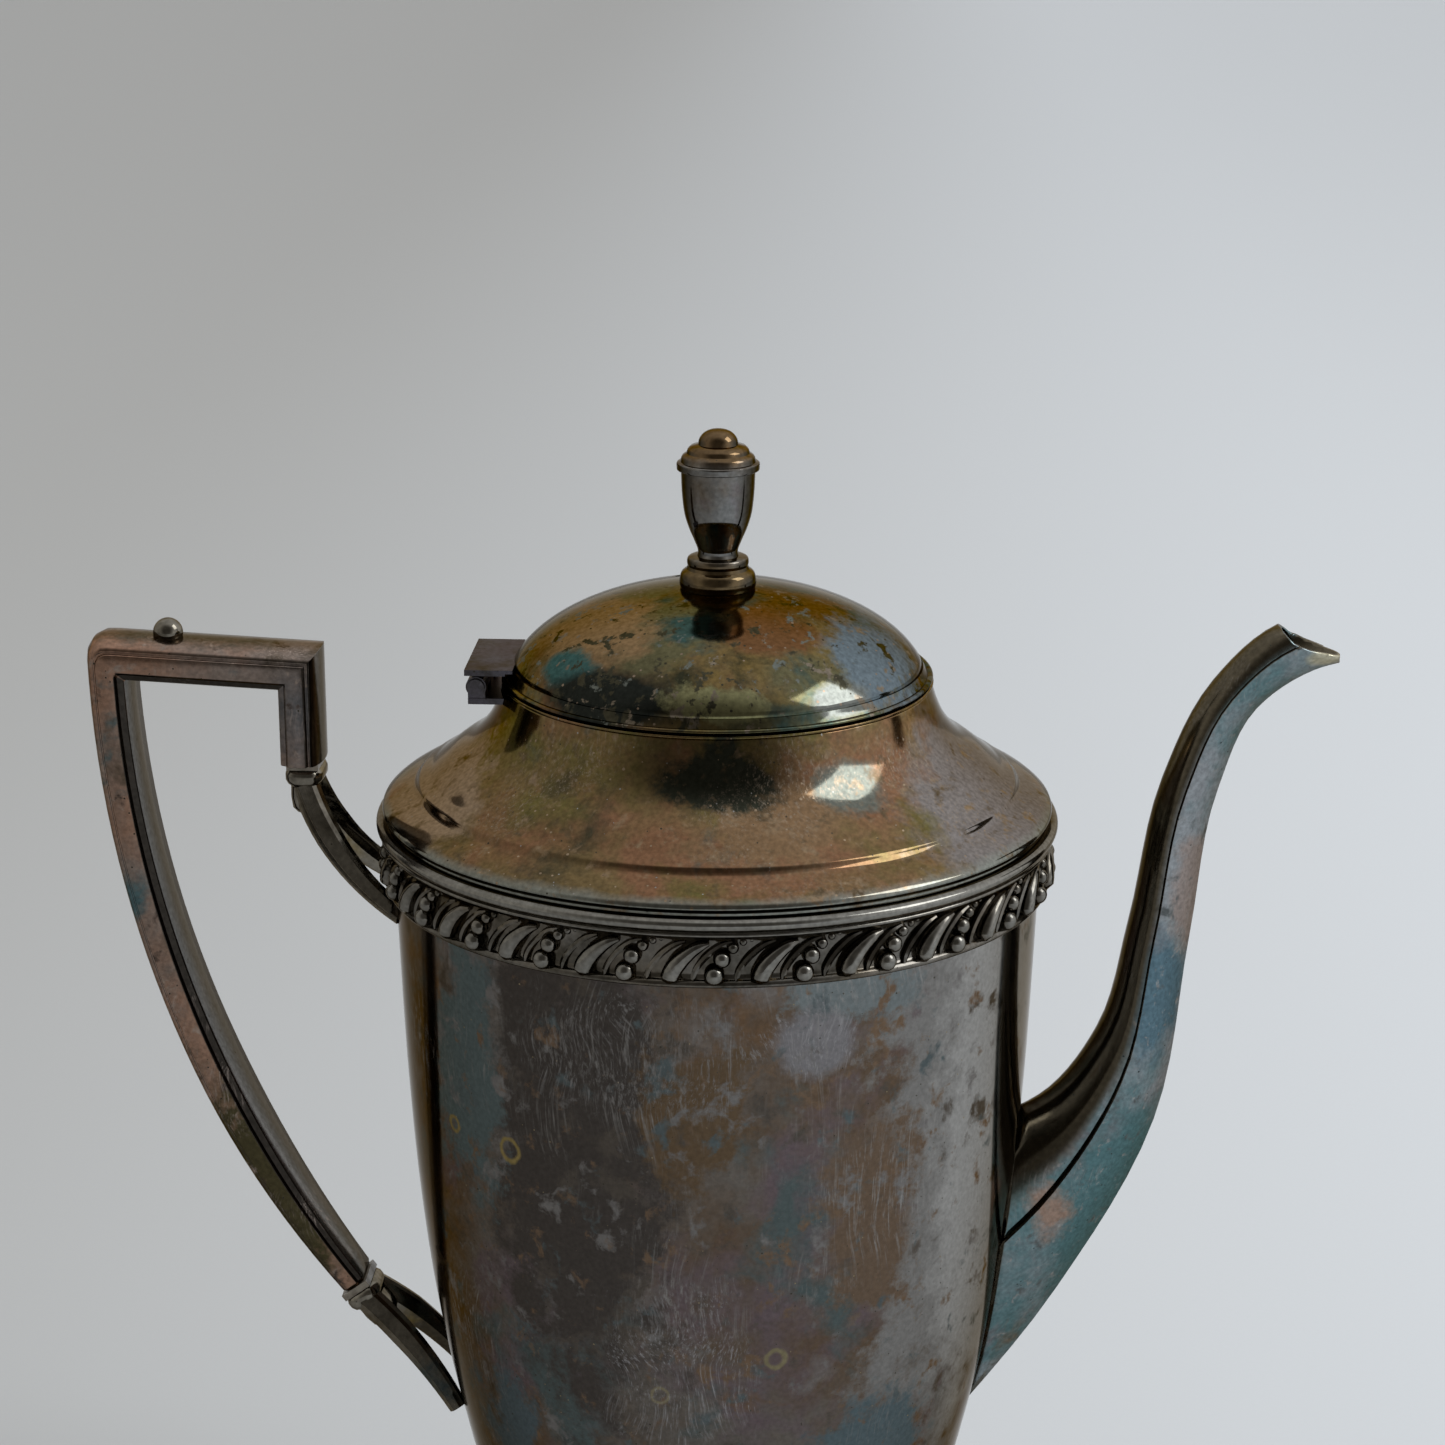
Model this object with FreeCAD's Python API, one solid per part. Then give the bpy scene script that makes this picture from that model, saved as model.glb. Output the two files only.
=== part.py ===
import FreeCAD, Part
import math
import os
from FreeCAD import Vector

# Silver coffee pot. Z is the pot's axis and the table is Z = 0, with the spout toward +X
# and the handle toward -X. Lengths are in millimetres and angles in degrees.

# Foot and stem
foot_radius = 38.0
foot_height = 23.5
foot_wall = 1.2
foot_rim_height = 3.6
foot_rim_width = 2.8
stem_radius = 12.5
knop_radius = 14.6
knop_height = 4.0
knop_flat = 1.6
rim_chamfer = 0.6

# Body and its pierced strainer behind the spout
body_radius = 54.6
body_height = 154.5
body_wall = 1.0
body_base_radius = 12.0
strainer_hole = 4.6
strainer_pitch = 8.0
strainer_drop = 72.0

# Shoulder, neck and mouth
lip_overhang = 1.6
lip_height = 1.0
shoulder_height = 23.0
neck_radius = 35.5
shoulder_wall = 0.9
neck_wire = 0.6

# Gadroon border round the seam of body and shoulder
border_height = 11.4
border_rise = 1.5
border_foot_rise = 0.7
border_roll = 1.1
gadroon_count = 25
gadroon_phase = -82.8
gadroon_height = 6.9
lobe_radius = 1.3
ridge_radius = 0.8
largest_bead = 1.35
smallest_bead = 0.5
bead_count = 3
lobe_root = 0.5
lobe_shoulder = 0.6
lobe_crown = 0.7
lobe_stations = 4
bead_crown = 0.6
bead_rise = 0.8
bead_climb = 0.8
gadroon_lean = 0.5
ridge_place = 0.34
bead_place = 0.66

# Lid
lid_gap = 0.25
lid_rim_overhang = 0.3
lid_rim_height = 2.05
lid_dome_inset = 0.6
lid_dome_rise = 17.6
lid_dome_edge_inset = 1.75
lid_wall = 0.9
lid_rim_bevel = 0.5
dome_steps = 6
bezel_depth = 3.75
bezel_wall = 0.8
bezel_clearance = 0.5
vent_hole = 2.4
vent_distance = 12.5
vent_angle = 122.0

# Finial
collar_radius = 6.2
collar_height = 5.6
collar_sink = 0.6
finial_height = 21.1
finial_radius = 6.1
stud_radius = 1.5
stud_clearance = 0.1
stud_grip = 7.0
stud_end = 1.0
washer_radius = 5.0
washer_thickness = 1.0
nut_across_flats = 6.0
nut_height = 2.4

# Lid hinge
hinge_offset = 3.4
hinge_width = 20.0
hinge_half_thickness = 2.9
hinge_leaf_thickness = 1.0
hinge_leaf_overhang = 1.9
hinge_bracket_overhang = 1.35
knuckle_radius = 1.7
knuckle_count = 5
knuckle_clearance = 0.15
pin_radius = 0.9
pin_clearance = 0.05
pin_head_radius = 1.4
pin_head_height = 0.5
hinge_web = 1.5

# Handle: section, then the corners of its path beyond the body's wall and above its top edge
grip_width = 10.0
grip_side = 4.8
grip_crown = 2.0
grip_chamfer = 0.9
grip_lower_out = 9.2
grip_lower_up = -89.3
grip_corner_out = 47.4
grip_corner_up = 25.4
grip_leg_out = 14.9
grip_leg_corner_up = 23.8
grip_leg_up = 7.5
grip_sweep_radius = 193.5
sweep_overrun = 1.1
thumb_bead_radius = 2.5
thumb_bead_inset = 9.8
thumb_bead_rise = 0.5

# Handle joints: washers, dowels and two-pronged forks, placed as the handle's path is
insulator_thickness = 1.2
insulator_waist = 0.7
dowel_radius = 1.5
dowel_depth = 5.0
dowel_clearance = 0.05
prong_thickness = 5.0
prong_width = 4.4
prong_offset = 2.2
prong_overrun = 1.4
fork_stem_length = 6.0
stem_taper = 0.7
upper_fork_out = -2.1
upper_fork_up = -16.2
upper_fork_sag = 2.8
upper_fork_spread = 22.0
lower_fork_out = -10.1
lower_fork_up = -108.0
lower_fork_sag = -1.2
lower_fork_spread = 19.0

# Spout: wall, half widths, and the ridge where its inner cover meets the keeled outer side
spout_wall = 1.0
spout_root_half_width = 11.0
spout_tip_half_width = 4.2
spout_ridge_share = 0.34
spout_ridge_step = 0.5
spout_inner_ledge = 0.1
spout_keel_power = 1.7
spout_keel_wall = 1.6
mouth_reach = 8.0

# Heights and places that follow from those sizes
body_base = foot_height + knop_height
body_top = body_base + body_height
border_base = body_top - border_height
border_radius = body_radius + border_rise
border_foot_radius = body_radius + border_foot_rise
lip_radius = body_radius + lip_overhang
lid_rim_radius = neck_radius + lid_rim_overhang
lid_dome_radius = lid_rim_radius - lid_dome_inset
lid_dome_edge = lid_rim_radius - lid_dome_edge_inset
neck_top = body_top + shoulder_height
lid_base = neck_top + lid_gap
dome_base = lid_base + lid_rim_height
dome_centre = dome_base - lid_dome_rise * math.sqrt(1 - (lid_dome_edge / lid_dome_radius) ** 2)
dome_top = dome_centre + lid_dome_rise
hinge_x = -(lid_rim_radius + hinge_offset)
hinge_z = neck_top

# Turned profiles from the bottom up, as shares of the way down and out
body_shape = [(0.964, 0.458), (0.906, 0.604), (0.822, 0.729), (0.693, 0.829),
              (0.563, 0.898), (0.434, 0.943), (0.304, 0.969), (0.142, 0.988)]
shoulder_shape = [(0.936, 0.961), (0.864, 0.855), (0.8, 0.72), (0.75, 0.633), (0.664, 0.556),
                  (0.591, 0.435), (0.491, 0.266), (0.336, 0.13), (0.155, 0.044)]
finial_shape = [(0, 0.53), (0.05, 0.55), (0.2, 0.765), (0.31, 0.885), (0.49, 0.975), (0.675, 1.0),
                (0.68, 1.108), (0.745, 1.108), (0.765, 0.948), (0.86, 0.746), (0.895, 0.51), (0.97, 0.28)]
collar_shape = [(0, 1), (0.3, 1), (0.56, 0.93), (0.8, 0.8), (1, 0.8)]
foot_shape = [(0.86, 0.8), (0.72, 0.46), (0.42, 0.12)]

# Spout stations beyond the body's wall and above its top edge: the cover's crown, then the keel
spout_stations = [
    ((-8.6, -57.0), (-18.6, -122.0)),
    ((2.9, -50.0), (5.4, -87.5)),
    ((10.0, -38.4), (21.0, -55.0)),
    ((14.4, -19.0), (25.6, -20.5)),
    ((18.9, 6.0), (29.1, 5.0)),
    ((26.3, 23.6), (34.7, 18.8)),
    ((37.5, 33.2), (43.8, 25.6)),
    ((44.4, 35.6), (49.9, 27.5)),
]
spout_mouth = [(37.5, 33.0), (40.4, 30.3), (47.4, 27.6)]

axis_start = Vector(0, 0, 0)
axis_up = Vector(0, 0, 1)
across = Vector(0, 1, 0)
os.makedirs("parts", exist_ok=True)


def save(node, shape):
    shape.exportStep("parts/" + node + ".step")


def at(radius, height):
    """A point of a turned profile, in the XZ plane."""
    return Vector(radius, 0, height)


def turned(points):
    """A solid turned about the pot's axis from the corners of its closed profile."""
    return Part.Face(Part.makePolygon(points + points[:1])).revolve(axis_start, axis_up, 360)


def inward(points, wall, first, last):
    """A profile's corners moved in by the wall, square to the profile, between two set ends."""
    moved = [first]
    for before, here, after in zip(points, points[1:], points[2:]):
        along = (after - before).normalize()
        moved.append(here + Vector(-along.z, 0, along.x) * wall)
    return moved + [last]


def faceted(rings):
    """A closed solid of flat faces through rings that have the same number of corners."""
    faces = [Part.Face(Part.makePolygon(ring + ring[:1])) for ring in (rings[0], rings[-1])]
    for low, high in zip(rings, rings[1:]):
        for corner in range(len(low)):
            a, b, c, d = low[corner - 1], low[corner], high[corner], high[corner - 1]
            faces.append(Part.Face(Part.makePolygon([a, b, c, a])))
            faces.append(Part.Face(Part.makePolygon([a, c, d, a])))
    return Part.makeSolid(Part.makeShell(faces))


def cylinder(radius, start, direction, length):
    return Part.makeCylinder(radius, length, start, direction)


def box(x_from, x_to, half_width, z_from, z_to):
    """A block centred on the plane Y = 0."""
    corner = Vector(x_from, -half_width, z_from)
    return Part.makeBox(x_to - x_from, 2 * half_width, z_to - z_from, corner)


def from_body(out, up):
    """A point of the symmetry plane on the spout's side, measured from the body's top edge."""
    return Vector(body_radius + out, 0, body_top + up)


def behind_body(out, up):
    """The same on the handle's side."""
    return Vector(-body_radius - out, 0, body_top + up)


# Body shell: raised vase, closed below, pierced behind the spout
body_points = [at(body_base_radius, body_base)]
body_points += [at(body_radius * out, body_top - body_height * down) for down, out in body_shape]
body_points += [at(body_radius, body_top)]
body_floor = body_base + body_wall
body_inner = inward(body_points, body_wall, at(body_base_radius, body_floor), at(body_radius - body_wall, body_top))
body_envelope = turned(body_points + [at(0, body_top), at(0, body_base)])
body_cavity = turned(body_inner + [at(0, body_top), at(0, body_floor)])
strainer_z = body_top - strainer_drop
strainer_places = [(0, 0)]
strainer_places += [(strainer_pitch * math.cos(math.radians(60 * turn)),
                     strainer_pitch * math.sin(math.radians(60 * turn))) for turn in range(6)]
strainer_holes = [cylinder(strainer_hole / 2, Vector(0, side, strainer_z + up), Vector(1, 0, 0), 2 * body_radius)
                  for side, up in strainer_places]
save("body_shell", body_envelope.cut(body_cavity).cut(strainer_holes))

# Shoulder shell: lip, lower swell, bell and neck, flanged onto the body's top edge
lip_top = body_top + lip_height
shoulder_points = [at(lip_radius, body_top), at(lip_radius, lip_top)]
shoulder_points += [at(neck_radius + (lip_radius - neck_radius) * out,
                       neck_top - (neck_top - lip_top) * down) for down, out in shoulder_shape]
shoulder_points += [at(neck_radius, neck_top)]
flange_radius = body_radius - body_wall
shoulder_inner = inward(shoulder_points[1:], shoulder_wall, at(flange_radius, lip_top),
                        at(neck_radius - shoulder_wall, neck_top))
shoulder_shell = turned(shoulder_points + shoulder_inner[::-1] + [at(flange_radius, body_top)])
shoulder_envelope = turned(shoulder_points + [at(0, neck_top), at(0, body_top)])
save("shoulder_shell", shoulder_shell)

# Neck wire: thin wire soldered outside the mouth, level with its top edge
neck_rim_wire = turned([at(neck_radius - neck_wire, neck_top), at(neck_radius + neck_wire / 2, neck_top),
                        at(neck_radius + neck_wire, neck_top - neck_wire),
                        at(neck_radius + neck_wire / 2, neck_top - 2 * neck_wire),
                        at(neck_radius - neck_wire, neck_top - 2 * neck_wire)]).cut(shoulder_envelope)
save("neck_rim_wire", neck_rim_wire)

# Gadroon border: ring with a roll above, then leaning lobes, ridges and graduated beads
ground_top = body_top - 2 * border_roll
border_ring = turned([at(border_foot_radius - border_roll, border_base), at(border_foot_radius, border_base),
                      at(border_radius, ground_top), at(border_radius + border_roll, ground_top + border_roll / 2),
                      at(border_radius + border_roll, body_top - border_roll / 2), at(border_radius, body_top),
                      at(body_radius / 2, body_top), at(body_radius / 2, border_base)])
gadroon_pitch = 360 / gadroon_count
gadroon_base = border_base + lobe_radius


def on_border(angle, height):
    """A point of the border's ground at an angle round the pot."""
    share = (height - border_base) / (ground_top - border_base)
    radius = border_foot_radius + (border_radius - border_foot_radius) * share
    return Vector(radius * math.cos(math.radians(angle)), radius * math.sin(math.radians(angle)), height)


def crescent_point(start, share):
    """A quarter ellipse that climbs from the border's foot and leans to the right."""
    turn = math.radians(90 * share)
    angle = start + gadroon_lean * gadroon_pitch * (1 - math.cos(turn))
    return on_border(angle, gadroon_base + gadroon_height * math.sin(turn))


def crescent(start, foot_size, head_size):
    """A lobe along that quarter ellipse, broad at its foot and thin at its head."""
    rings = []
    for station in range(lobe_stations):
        share = station / (lobe_stations - 1)
        here = crescent_point(start, share)
        ahead = (crescent_point(start, share + 0.1) - crescent_point(start, share - 0.1)).normalize()
        out = Vector(here.x, here.y, 0).normalize()
        side = ahead.cross(out)
        size = foot_size + (head_size - foot_size) * share
        crown = out * size * lobe_crown
        shoulder = side * size * lobe_shoulder
        rings.append([here + side * size - out * lobe_root, here + shoulder + crown,
                      here - shoulder + crown, here - side * size - out * lobe_root])
    return faceted(rings)


def bead(start, share, size):
    """A bead cut with flat sides, standing on the border's ground."""
    here = crescent_point(start, share)
    out = Vector(here.x, here.y, 0).normalize()
    side = axis_up.cross(out)
    turns = [math.radians(60 * turn) for turn in range(6)]
    spokes = [side * math.cos(turn) + axis_up * math.sin(turn) for turn in turns]
    foot = [here + spoke * size - out * lobe_root for spoke in spokes]
    crown = [here + spoke * size * bead_crown + out * size * bead_rise for spoke in spokes]
    return faceted([foot, crown])


ornament = [crescent(gadroon_phase, lobe_radius, smallest_bead),
            crescent(gadroon_phase + ridge_place * gadroon_pitch, ridge_radius, smallest_bead)]
for step in range(bead_count):
    share = step / (bead_count - 1)
    size = largest_bead + (smallest_bead - largest_bead) * share
    ornament.append(bead(gadroon_phase + bead_place * gadroon_pitch, bead_climb * share, size))
ornaments = [piece.rotated(axis_start, axis_up, gadroon_pitch * repeat)
             for repeat in range(gadroon_count) for piece in ornament]
gadroon_border = border_ring.cut(body_envelope).fuse(ornaments)
save("gadroon_border", gadroon_border)

# Foot: turned rim on the table, spreading foot with a hollow below, and the knop that carries the body
foot_rim = turned([at(foot_radius - foot_rim_width, 0), at(foot_radius - rim_chamfer, 0),
                   at(foot_radius, rim_chamfer), at(foot_radius, foot_rim_height - rim_chamfer),
                   at(foot_radius - rim_chamfer, foot_rim_height),
                   at(foot_radius - foot_rim_width, foot_rim_height)])
save("foot_rim", foot_rim)
foot_edge = foot_radius - foot_wall
foot_points = [at(foot_edge, foot_rim_height)]
foot_points += [at(stem_radius + (foot_edge - stem_radius) * out,
                   foot_height - (foot_height - foot_rim_height) * down) for down, out in foot_shape]
foot_points += [at(stem_radius, foot_height)]
foot_inner = inward(foot_points, foot_wall, at(foot_edge - foot_wall, foot_rim_height),
                    at(stem_radius - foot_wall, foot_height - foot_wall))
foot = turned(foot_points + [at(0, foot_height), at(0, foot_height - foot_wall)] + foot_inner[::-1])
save("foot", foot)
knop_middle = foot_height + knop_height / 2
stem_knop = turned([at(0, foot_height), at(stem_radius, foot_height), at(knop_radius, knop_middle - knop_flat / 2),
                    at(knop_radius, knop_middle + knop_flat / 2), at(body_base_radius, body_base), at(0, body_base)])
save("stem_knop", stem_knop)


def slab(points, half_width):
    """A block with its outline in the symmetry plane, equally thick on both sides of it."""
    outline = Part.Face(Part.makePolygon(points + points[:1]))
    return outline.translated(across * -half_width).extrude(across * 2 * half_width)


# Spout: swan-necked and keeled, its cover set in between two ridges, cut open along the mouth
def smooth_stations(points):
    """The stations of one edge with one more between each two, along a smooth curve."""
    curve = Part.BSplineCurve()
    curve.interpolate(points)
    places = [curve.parameter(point) for point in points]
    places += [(a + b) / 2 for a, b in zip(places, places[1:])]
    return [curve.value(place) for place in sorted(places)]


def spout_ring(crown, keel, half_width, step):
    """A section from the crown round one ridge to the keel and back by the other ridge."""
    depth = keel - crown
    side = []
    for turn in (0, 30, 60, 90):
        turn = math.radians(turn)
        side.append((spout_ridge_share * (1 - math.cos(turn)), half_width * math.sin(turn)))
    for share in (0, 0.3, 0.6, 0.85):
        down = spout_ridge_share + (1 - spout_ridge_share) * share
        side.append((down, (half_width + step) * (1 - share ** spout_keel_power)))
    right = [crown + depth * down + across * out for down, out in side]
    left = [crown + depth * down - across * out for down, out in side[:0:-1]]
    return right + [keel] + left


crowns = smooth_stations([from_body(*crown) for crown, keel in spout_stations])
keels = smooth_stations([from_body(*keel) for crown, keel in spout_stations])
outer_rings = []
inner_rings = []
for place, (crown, keel) in enumerate(zip(crowns, keels)):
    taper = (1 - place / (len(crowns) - 1)) ** 2
    half_width = spout_tip_half_width + (spout_root_half_width - spout_tip_half_width) * taper
    inside = (keel - crown).normalize() * spout_wall
    outer_rings.append(spout_ring(crown, keel, half_width, spout_ridge_step))
    inner_rings.append(spout_ring(crown + inside, keel - inside * spout_keel_wall, half_width - spout_wall,
                                  spout_inner_ledge))
spout_envelope = faceted(outer_rings)
mouth = [from_body(*point) for point in spout_mouth]
past = 2 * mouth_reach
mouth_start = mouth[0] + (mouth[0] - mouth[1]).normalize() * mouth_reach
mouth_end = mouth[2] + (mouth[2] - mouth[1]).normalize() * mouth_reach
mouth_cut = slab([mouth_start] + mouth + [mouth_end, mouth_end + Vector(past, 0, 0),
                                          mouth_end + Vector(past, 0, past), mouth_start + Vector(0, 0, past)],
                 spout_root_half_width)
spout = spout_envelope.cut(faceted(inner_rings)).cut(mouth_cut).cut(body_envelope)
save("spout", spout)

# Handle: path corners, then an arc below and a mitred bar and leg above
grip_thickness = grip_side + grip_crown
lower_end = behind_body(grip_lower_out, grip_lower_up)
corner = behind_body(grip_corner_out, grip_corner_up)
leg_corner = behind_body(grip_leg_out, grip_leg_corner_up)
leg_end = behind_body(grip_leg_out, grip_leg_up)


def arc_centre(start, end, radius):
    """The centre of an arc in the symmetry plane, on the right of its start and end."""
    chord = end - start
    right = Vector(chord.z, 0, -chord.x).normalize()
    return (start + end) / 2 + right * math.sqrt(radius ** 2 - (chord.Length / 2) ** 2)


def swept_arc(section, start, end, centre, share):
    """A section carried along the arc, for a share of the way to its end."""
    angle = math.degrees((start - centre).getAngle(end - centre))
    turn = 1 if (start - centre).cross(end - centre).y > 0 else -1
    return section.revolve(centre, across * turn, angle * share)


def grip_section(place, out):
    """Flat toward the fingers with chamfered edges, square sides and a crowned back."""
    half = grip_width / 2
    flat = -grip_thickness / 2
    side = [(flat + grip_side, half), (flat + grip_chamfer, half), (flat, half - grip_chamfer)]
    side += [(rise, -wide) for rise, wide in side[::-1]]
    points = [place + out * rise + across * wide for rise, wide in side]
    crown = Part.Arc(points[-1], place + out * grip_thickness / 2, points[0]).toShape()
    return Part.Face(Part.Wire(Part.makePolygon(points).Edges + [crown]))


def beyond(place, normal):
    """All of the handle's room on one side of a mitre."""
    along = Vector(-normal.z, 0, normal.x) * grip_room
    return slab([place + along, place - along, place - along + normal * grip_room,
                 place + along + normal * grip_room], grip_width)


grip_room = 4 * grip_width
sweep_centre = arc_centre(lower_end, corner, grip_sweep_radius)
lower_out = (lower_end - sweep_centre).normalize()
sweep_along = across.cross((corner - sweep_centre).normalize())
bar_along = (leg_corner - corner).normalize()
leg_along = (leg_end - leg_corner).normalize()
bar_out = Vector(-bar_along.z, 0, bar_along.x)
leg_out = Vector(-leg_along.z, 0, leg_along.x)
corner_mitre = (sweep_along + bar_along).normalize()
leg_mitre = (bar_along + leg_along).normalize()
sweep = swept_arc(grip_section(lower_end, lower_out), lower_end, corner, sweep_centre, sweep_overrun)
sweep = sweep.cut(beyond(corner, corner_mitre))
bar = grip_section(corner - bar_along * grip_width, bar_out).extrude(leg_corner - corner + bar_along * 2 * grip_width)
bar = bar.cut(beyond(corner, corner_mitre * -1)).cut(beyond(leg_corner, leg_mitre))
leg = grip_section(leg_corner - leg_along * grip_width, leg_out).extrude(leg_end - leg_corner + leg_along * grip_width)
leg = leg.cut(beyond(leg_corner, leg_mitre * -1))
grip = sweep.fuse([bar, leg]).removeSplitter()
lower_along = across.cross(lower_out) * -1
dowel_hole = dowel_radius + dowel_clearance


def joint(node, end, along, out):
    """The washer and the dowel at one end of the handle. Returns the place where the fork begins."""
    half = grip_thickness / 2 - insulator_waist
    far = end + along * insulator_thickness
    washer = slab([end + out * half, end - out * half, far - out * half, far + out * half],
                  grip_width / 2 - insulator_waist)
    save(node + "_insulator", washer.cut(cylinder(dowel_hole, end, along, insulator_thickness)))
    length = insulator_thickness + 2 * dowel_depth
    save(node + "_stud", cylinder(dowel_radius, end - along * dowel_depth, along, length))
    return far


def fork(node, start, along, out, end, sag, spread):
    """A stem that parts into two prongs, which land on the body."""
    chord = end - start
    radius = ((chord.Length / 2) ** 2 + sag ** 2) / (2 * abs(sag))
    centre = arc_centre(start, end, radius) if sag < 0 else arc_centre(end, start, radius)
    radial = (start - centre).normalize()
    sizes = [(prong_thickness / 2 * math.cos(math.radians(turn)), prong_width / 2 * math.sin(math.radians(turn)))
             for turn in range(0, 360, 45)]
    points = [start + radial * rise + across * side for rise, side in sizes]
    section = Part.Face(Part.makePolygon(points + points[:1]))
    prong = swept_arc(section, start, end, centre, prong_overrun)
    half = grip_thickness / 2
    root = start + along * fork_stem_length
    stem = slab([start + out * half, start - out * half, root - out * half * stem_taper,
                 root + out * half * stem_taper], grip_width / 2)
    prongs = [prong.translated(across * side * prong_offset).rotated(start, axis_up, -side * spread)
              for side in (1, -1)]
    whole = stem.fuse(prongs).cut([body_envelope, border_room, beyond(start, along * -1)])
    save(node + "_fork", whole.cut(cylinder(dowel_hole, start, along, dowel_depth)))


border_room = turned([at(0, border_base), at(border_radius + 2 * border_roll, border_base),
                      at(border_radius + 2 * border_roll, body_top), at(0, body_top)])
grip_holes = [cylinder(dowel_hole, lower_end, lower_along * -1, dowel_depth),
              cylinder(dowel_hole, leg_end, leg_along * -1, dowel_depth)]
save("handle_grip", grip.cut(grip_holes))
bead_centre = corner + bar_along * thumb_bead_inset + bar_out * (grip_thickness / 2 + thumb_bead_rise)
save("thumb_bead", Part.makeSphere(thumb_bead_radius, bead_centre).cut(grip))
fork("upper", joint("upper", leg_end, leg_along, leg_out), leg_along, leg_out,
     behind_body(upper_fork_out, upper_fork_up), upper_fork_sag, upper_fork_spread)
fork("lower", joint("lower", lower_end, lower_along, lower_out), lower_along, lower_out,
     behind_body(lower_fork_out, lower_fork_up), lower_fork_sag, lower_fork_spread)

# Lid: raised dome with a steam vent, soldered onto a flat rim with a bezel below it
def dome_profile(radius, rise, edge, count):
    """Points of the dome's ellipse from its edge to its top."""
    first = math.acos(edge / radius)
    turns = [first + (math.pi / 2 - first) * step / count for step in range(count + 1)]
    return [at(radius * math.cos(turn), dome_centre + rise * math.sin(turn)) for turn in turns]


dome_points = dome_profile(lid_dome_radius, lid_dome_rise, lid_dome_edge, dome_steps)
dome_points[-1] = at(0, dome_top)
dome_inner = inward(dome_points, lid_wall, at(lid_dome_edge - lid_wall, dome_base), at(0, dome_top - lid_wall))
dome_envelope = turned(dome_points + [at(0, dome_base)])
dome_hollow = turned(dome_inner + [at(0, dome_base)])
vent_x = vent_distance * math.cos(math.radians(vent_angle))
vent_y = vent_distance * math.sin(math.radians(vent_angle))
stud_hole = stud_radius + stud_clearance
dome_holes = [cylinder(vent_hole / 2, Vector(vent_x, vent_y, dome_base), axis_up, lid_dome_rise),
              cylinder(stud_hole, at(0, dome_base), axis_up, lid_dome_rise)]
save("lid_dome", dome_envelope.cut(dome_hollow).cut(dome_holes))
rim_inner = lid_dome_edge - lid_wall
lid_rim = turned([at(rim_inner, lid_base), at(lid_rim_radius - lid_rim_bevel, lid_base),
                  at(lid_rim_radius, lid_base + lid_rim_bevel), at(lid_rim_radius, dome_base - lid_rim_bevel),
                  at(lid_rim_radius - lid_rim_bevel, dome_base), at(rim_inner, dome_base)])
save("lid_rim", lid_rim)
bezel_radius = neck_radius - shoulder_wall - bezel_clearance
lid_bezel = turned([at(bezel_radius - bezel_wall, lid_base - bezel_depth), at(bezel_radius, lid_base - bezel_depth),
                    at(bezel_radius, lid_base), at(bezel_radius - bezel_wall, lid_base)])
save("lid_bezel", lid_bezel)

# Finial: collar, urn with its cap, and the stud, washer and nut that hold them on the dome
collar_base = dome_top - collar_sink
collar_top = collar_base + collar_height
collar_points = [at(collar_radius * out, collar_base + collar_height * up) for up, out in collar_shape]
finial_collar = turned(collar_points + [at(stud_hole, collar_top), at(stud_hole, collar_base)]).cut(dome_envelope)
save("finial_collar", finial_collar)
finial_top = collar_top + finial_height
finial_points = [at(finial_radius * out, collar_top + finial_height * up) for up, out in finial_shape]
save("finial", turned([at(0, collar_top)] + finial_points + [at(0, finial_top)])
     .cut(cylinder(stud_hole, at(0, collar_top), axis_up, stud_grip)))
washer_top = dome_top - lid_wall
washer_base = washer_top - washer_thickness
finial_washer = cylinder(washer_radius, at(0, washer_base), axis_up, 2 * washer_thickness).common(dome_hollow)
save("finial_washer", finial_washer.cut(cylinder(stud_hole, at(0, washer_base), axis_up, 2 * washer_thickness)))
nut_base = washer_base - nut_height
nut_corners = [Vector(nut_across_flats / math.sqrt(3) * math.cos(math.radians(60 * turn)),
                      nut_across_flats / math.sqrt(3) * math.sin(math.radians(60 * turn)), nut_base)
               for turn in range(7)]
finial_nut = Part.Face(Part.makePolygon(nut_corners)).extrude(axis_up * nut_height)
save("finial_nut", finial_nut.cut(cylinder(stud_hole, at(0, nut_base), axis_up, nut_height)))
stud_base = nut_base - stud_end
save("finial_stud", cylinder(stud_radius, at(0, stud_base), axis_up, collar_top + stud_grip - stud_base))

# Lid hinge: five knuckles on one pin, a bracket on the neck and a leaf on the lid
hinge_centre = Vector(hinge_x, 0, hinge_z)
hinge_start = hinge_centre - across * hinge_width / 2
knuckle_pitch = hinge_width / knuckle_count
plate_inner = hinge_half_thickness - hinge_leaf_thickness


def knuckle(place, web_from, web_to, low, high):
    """One knuckle with the web that ties it to its plate."""
    start = hinge_start + across * (knuckle_pitch * place + knuckle_clearance)
    length = knuckle_pitch - 2 * knuckle_clearance
    web = Part.makeBox(web_to - web_from, length, high - low, start + Vector(web_from, 0, low))
    return cylinder(knuckle_radius, start, across, length).fuse(web)


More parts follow.
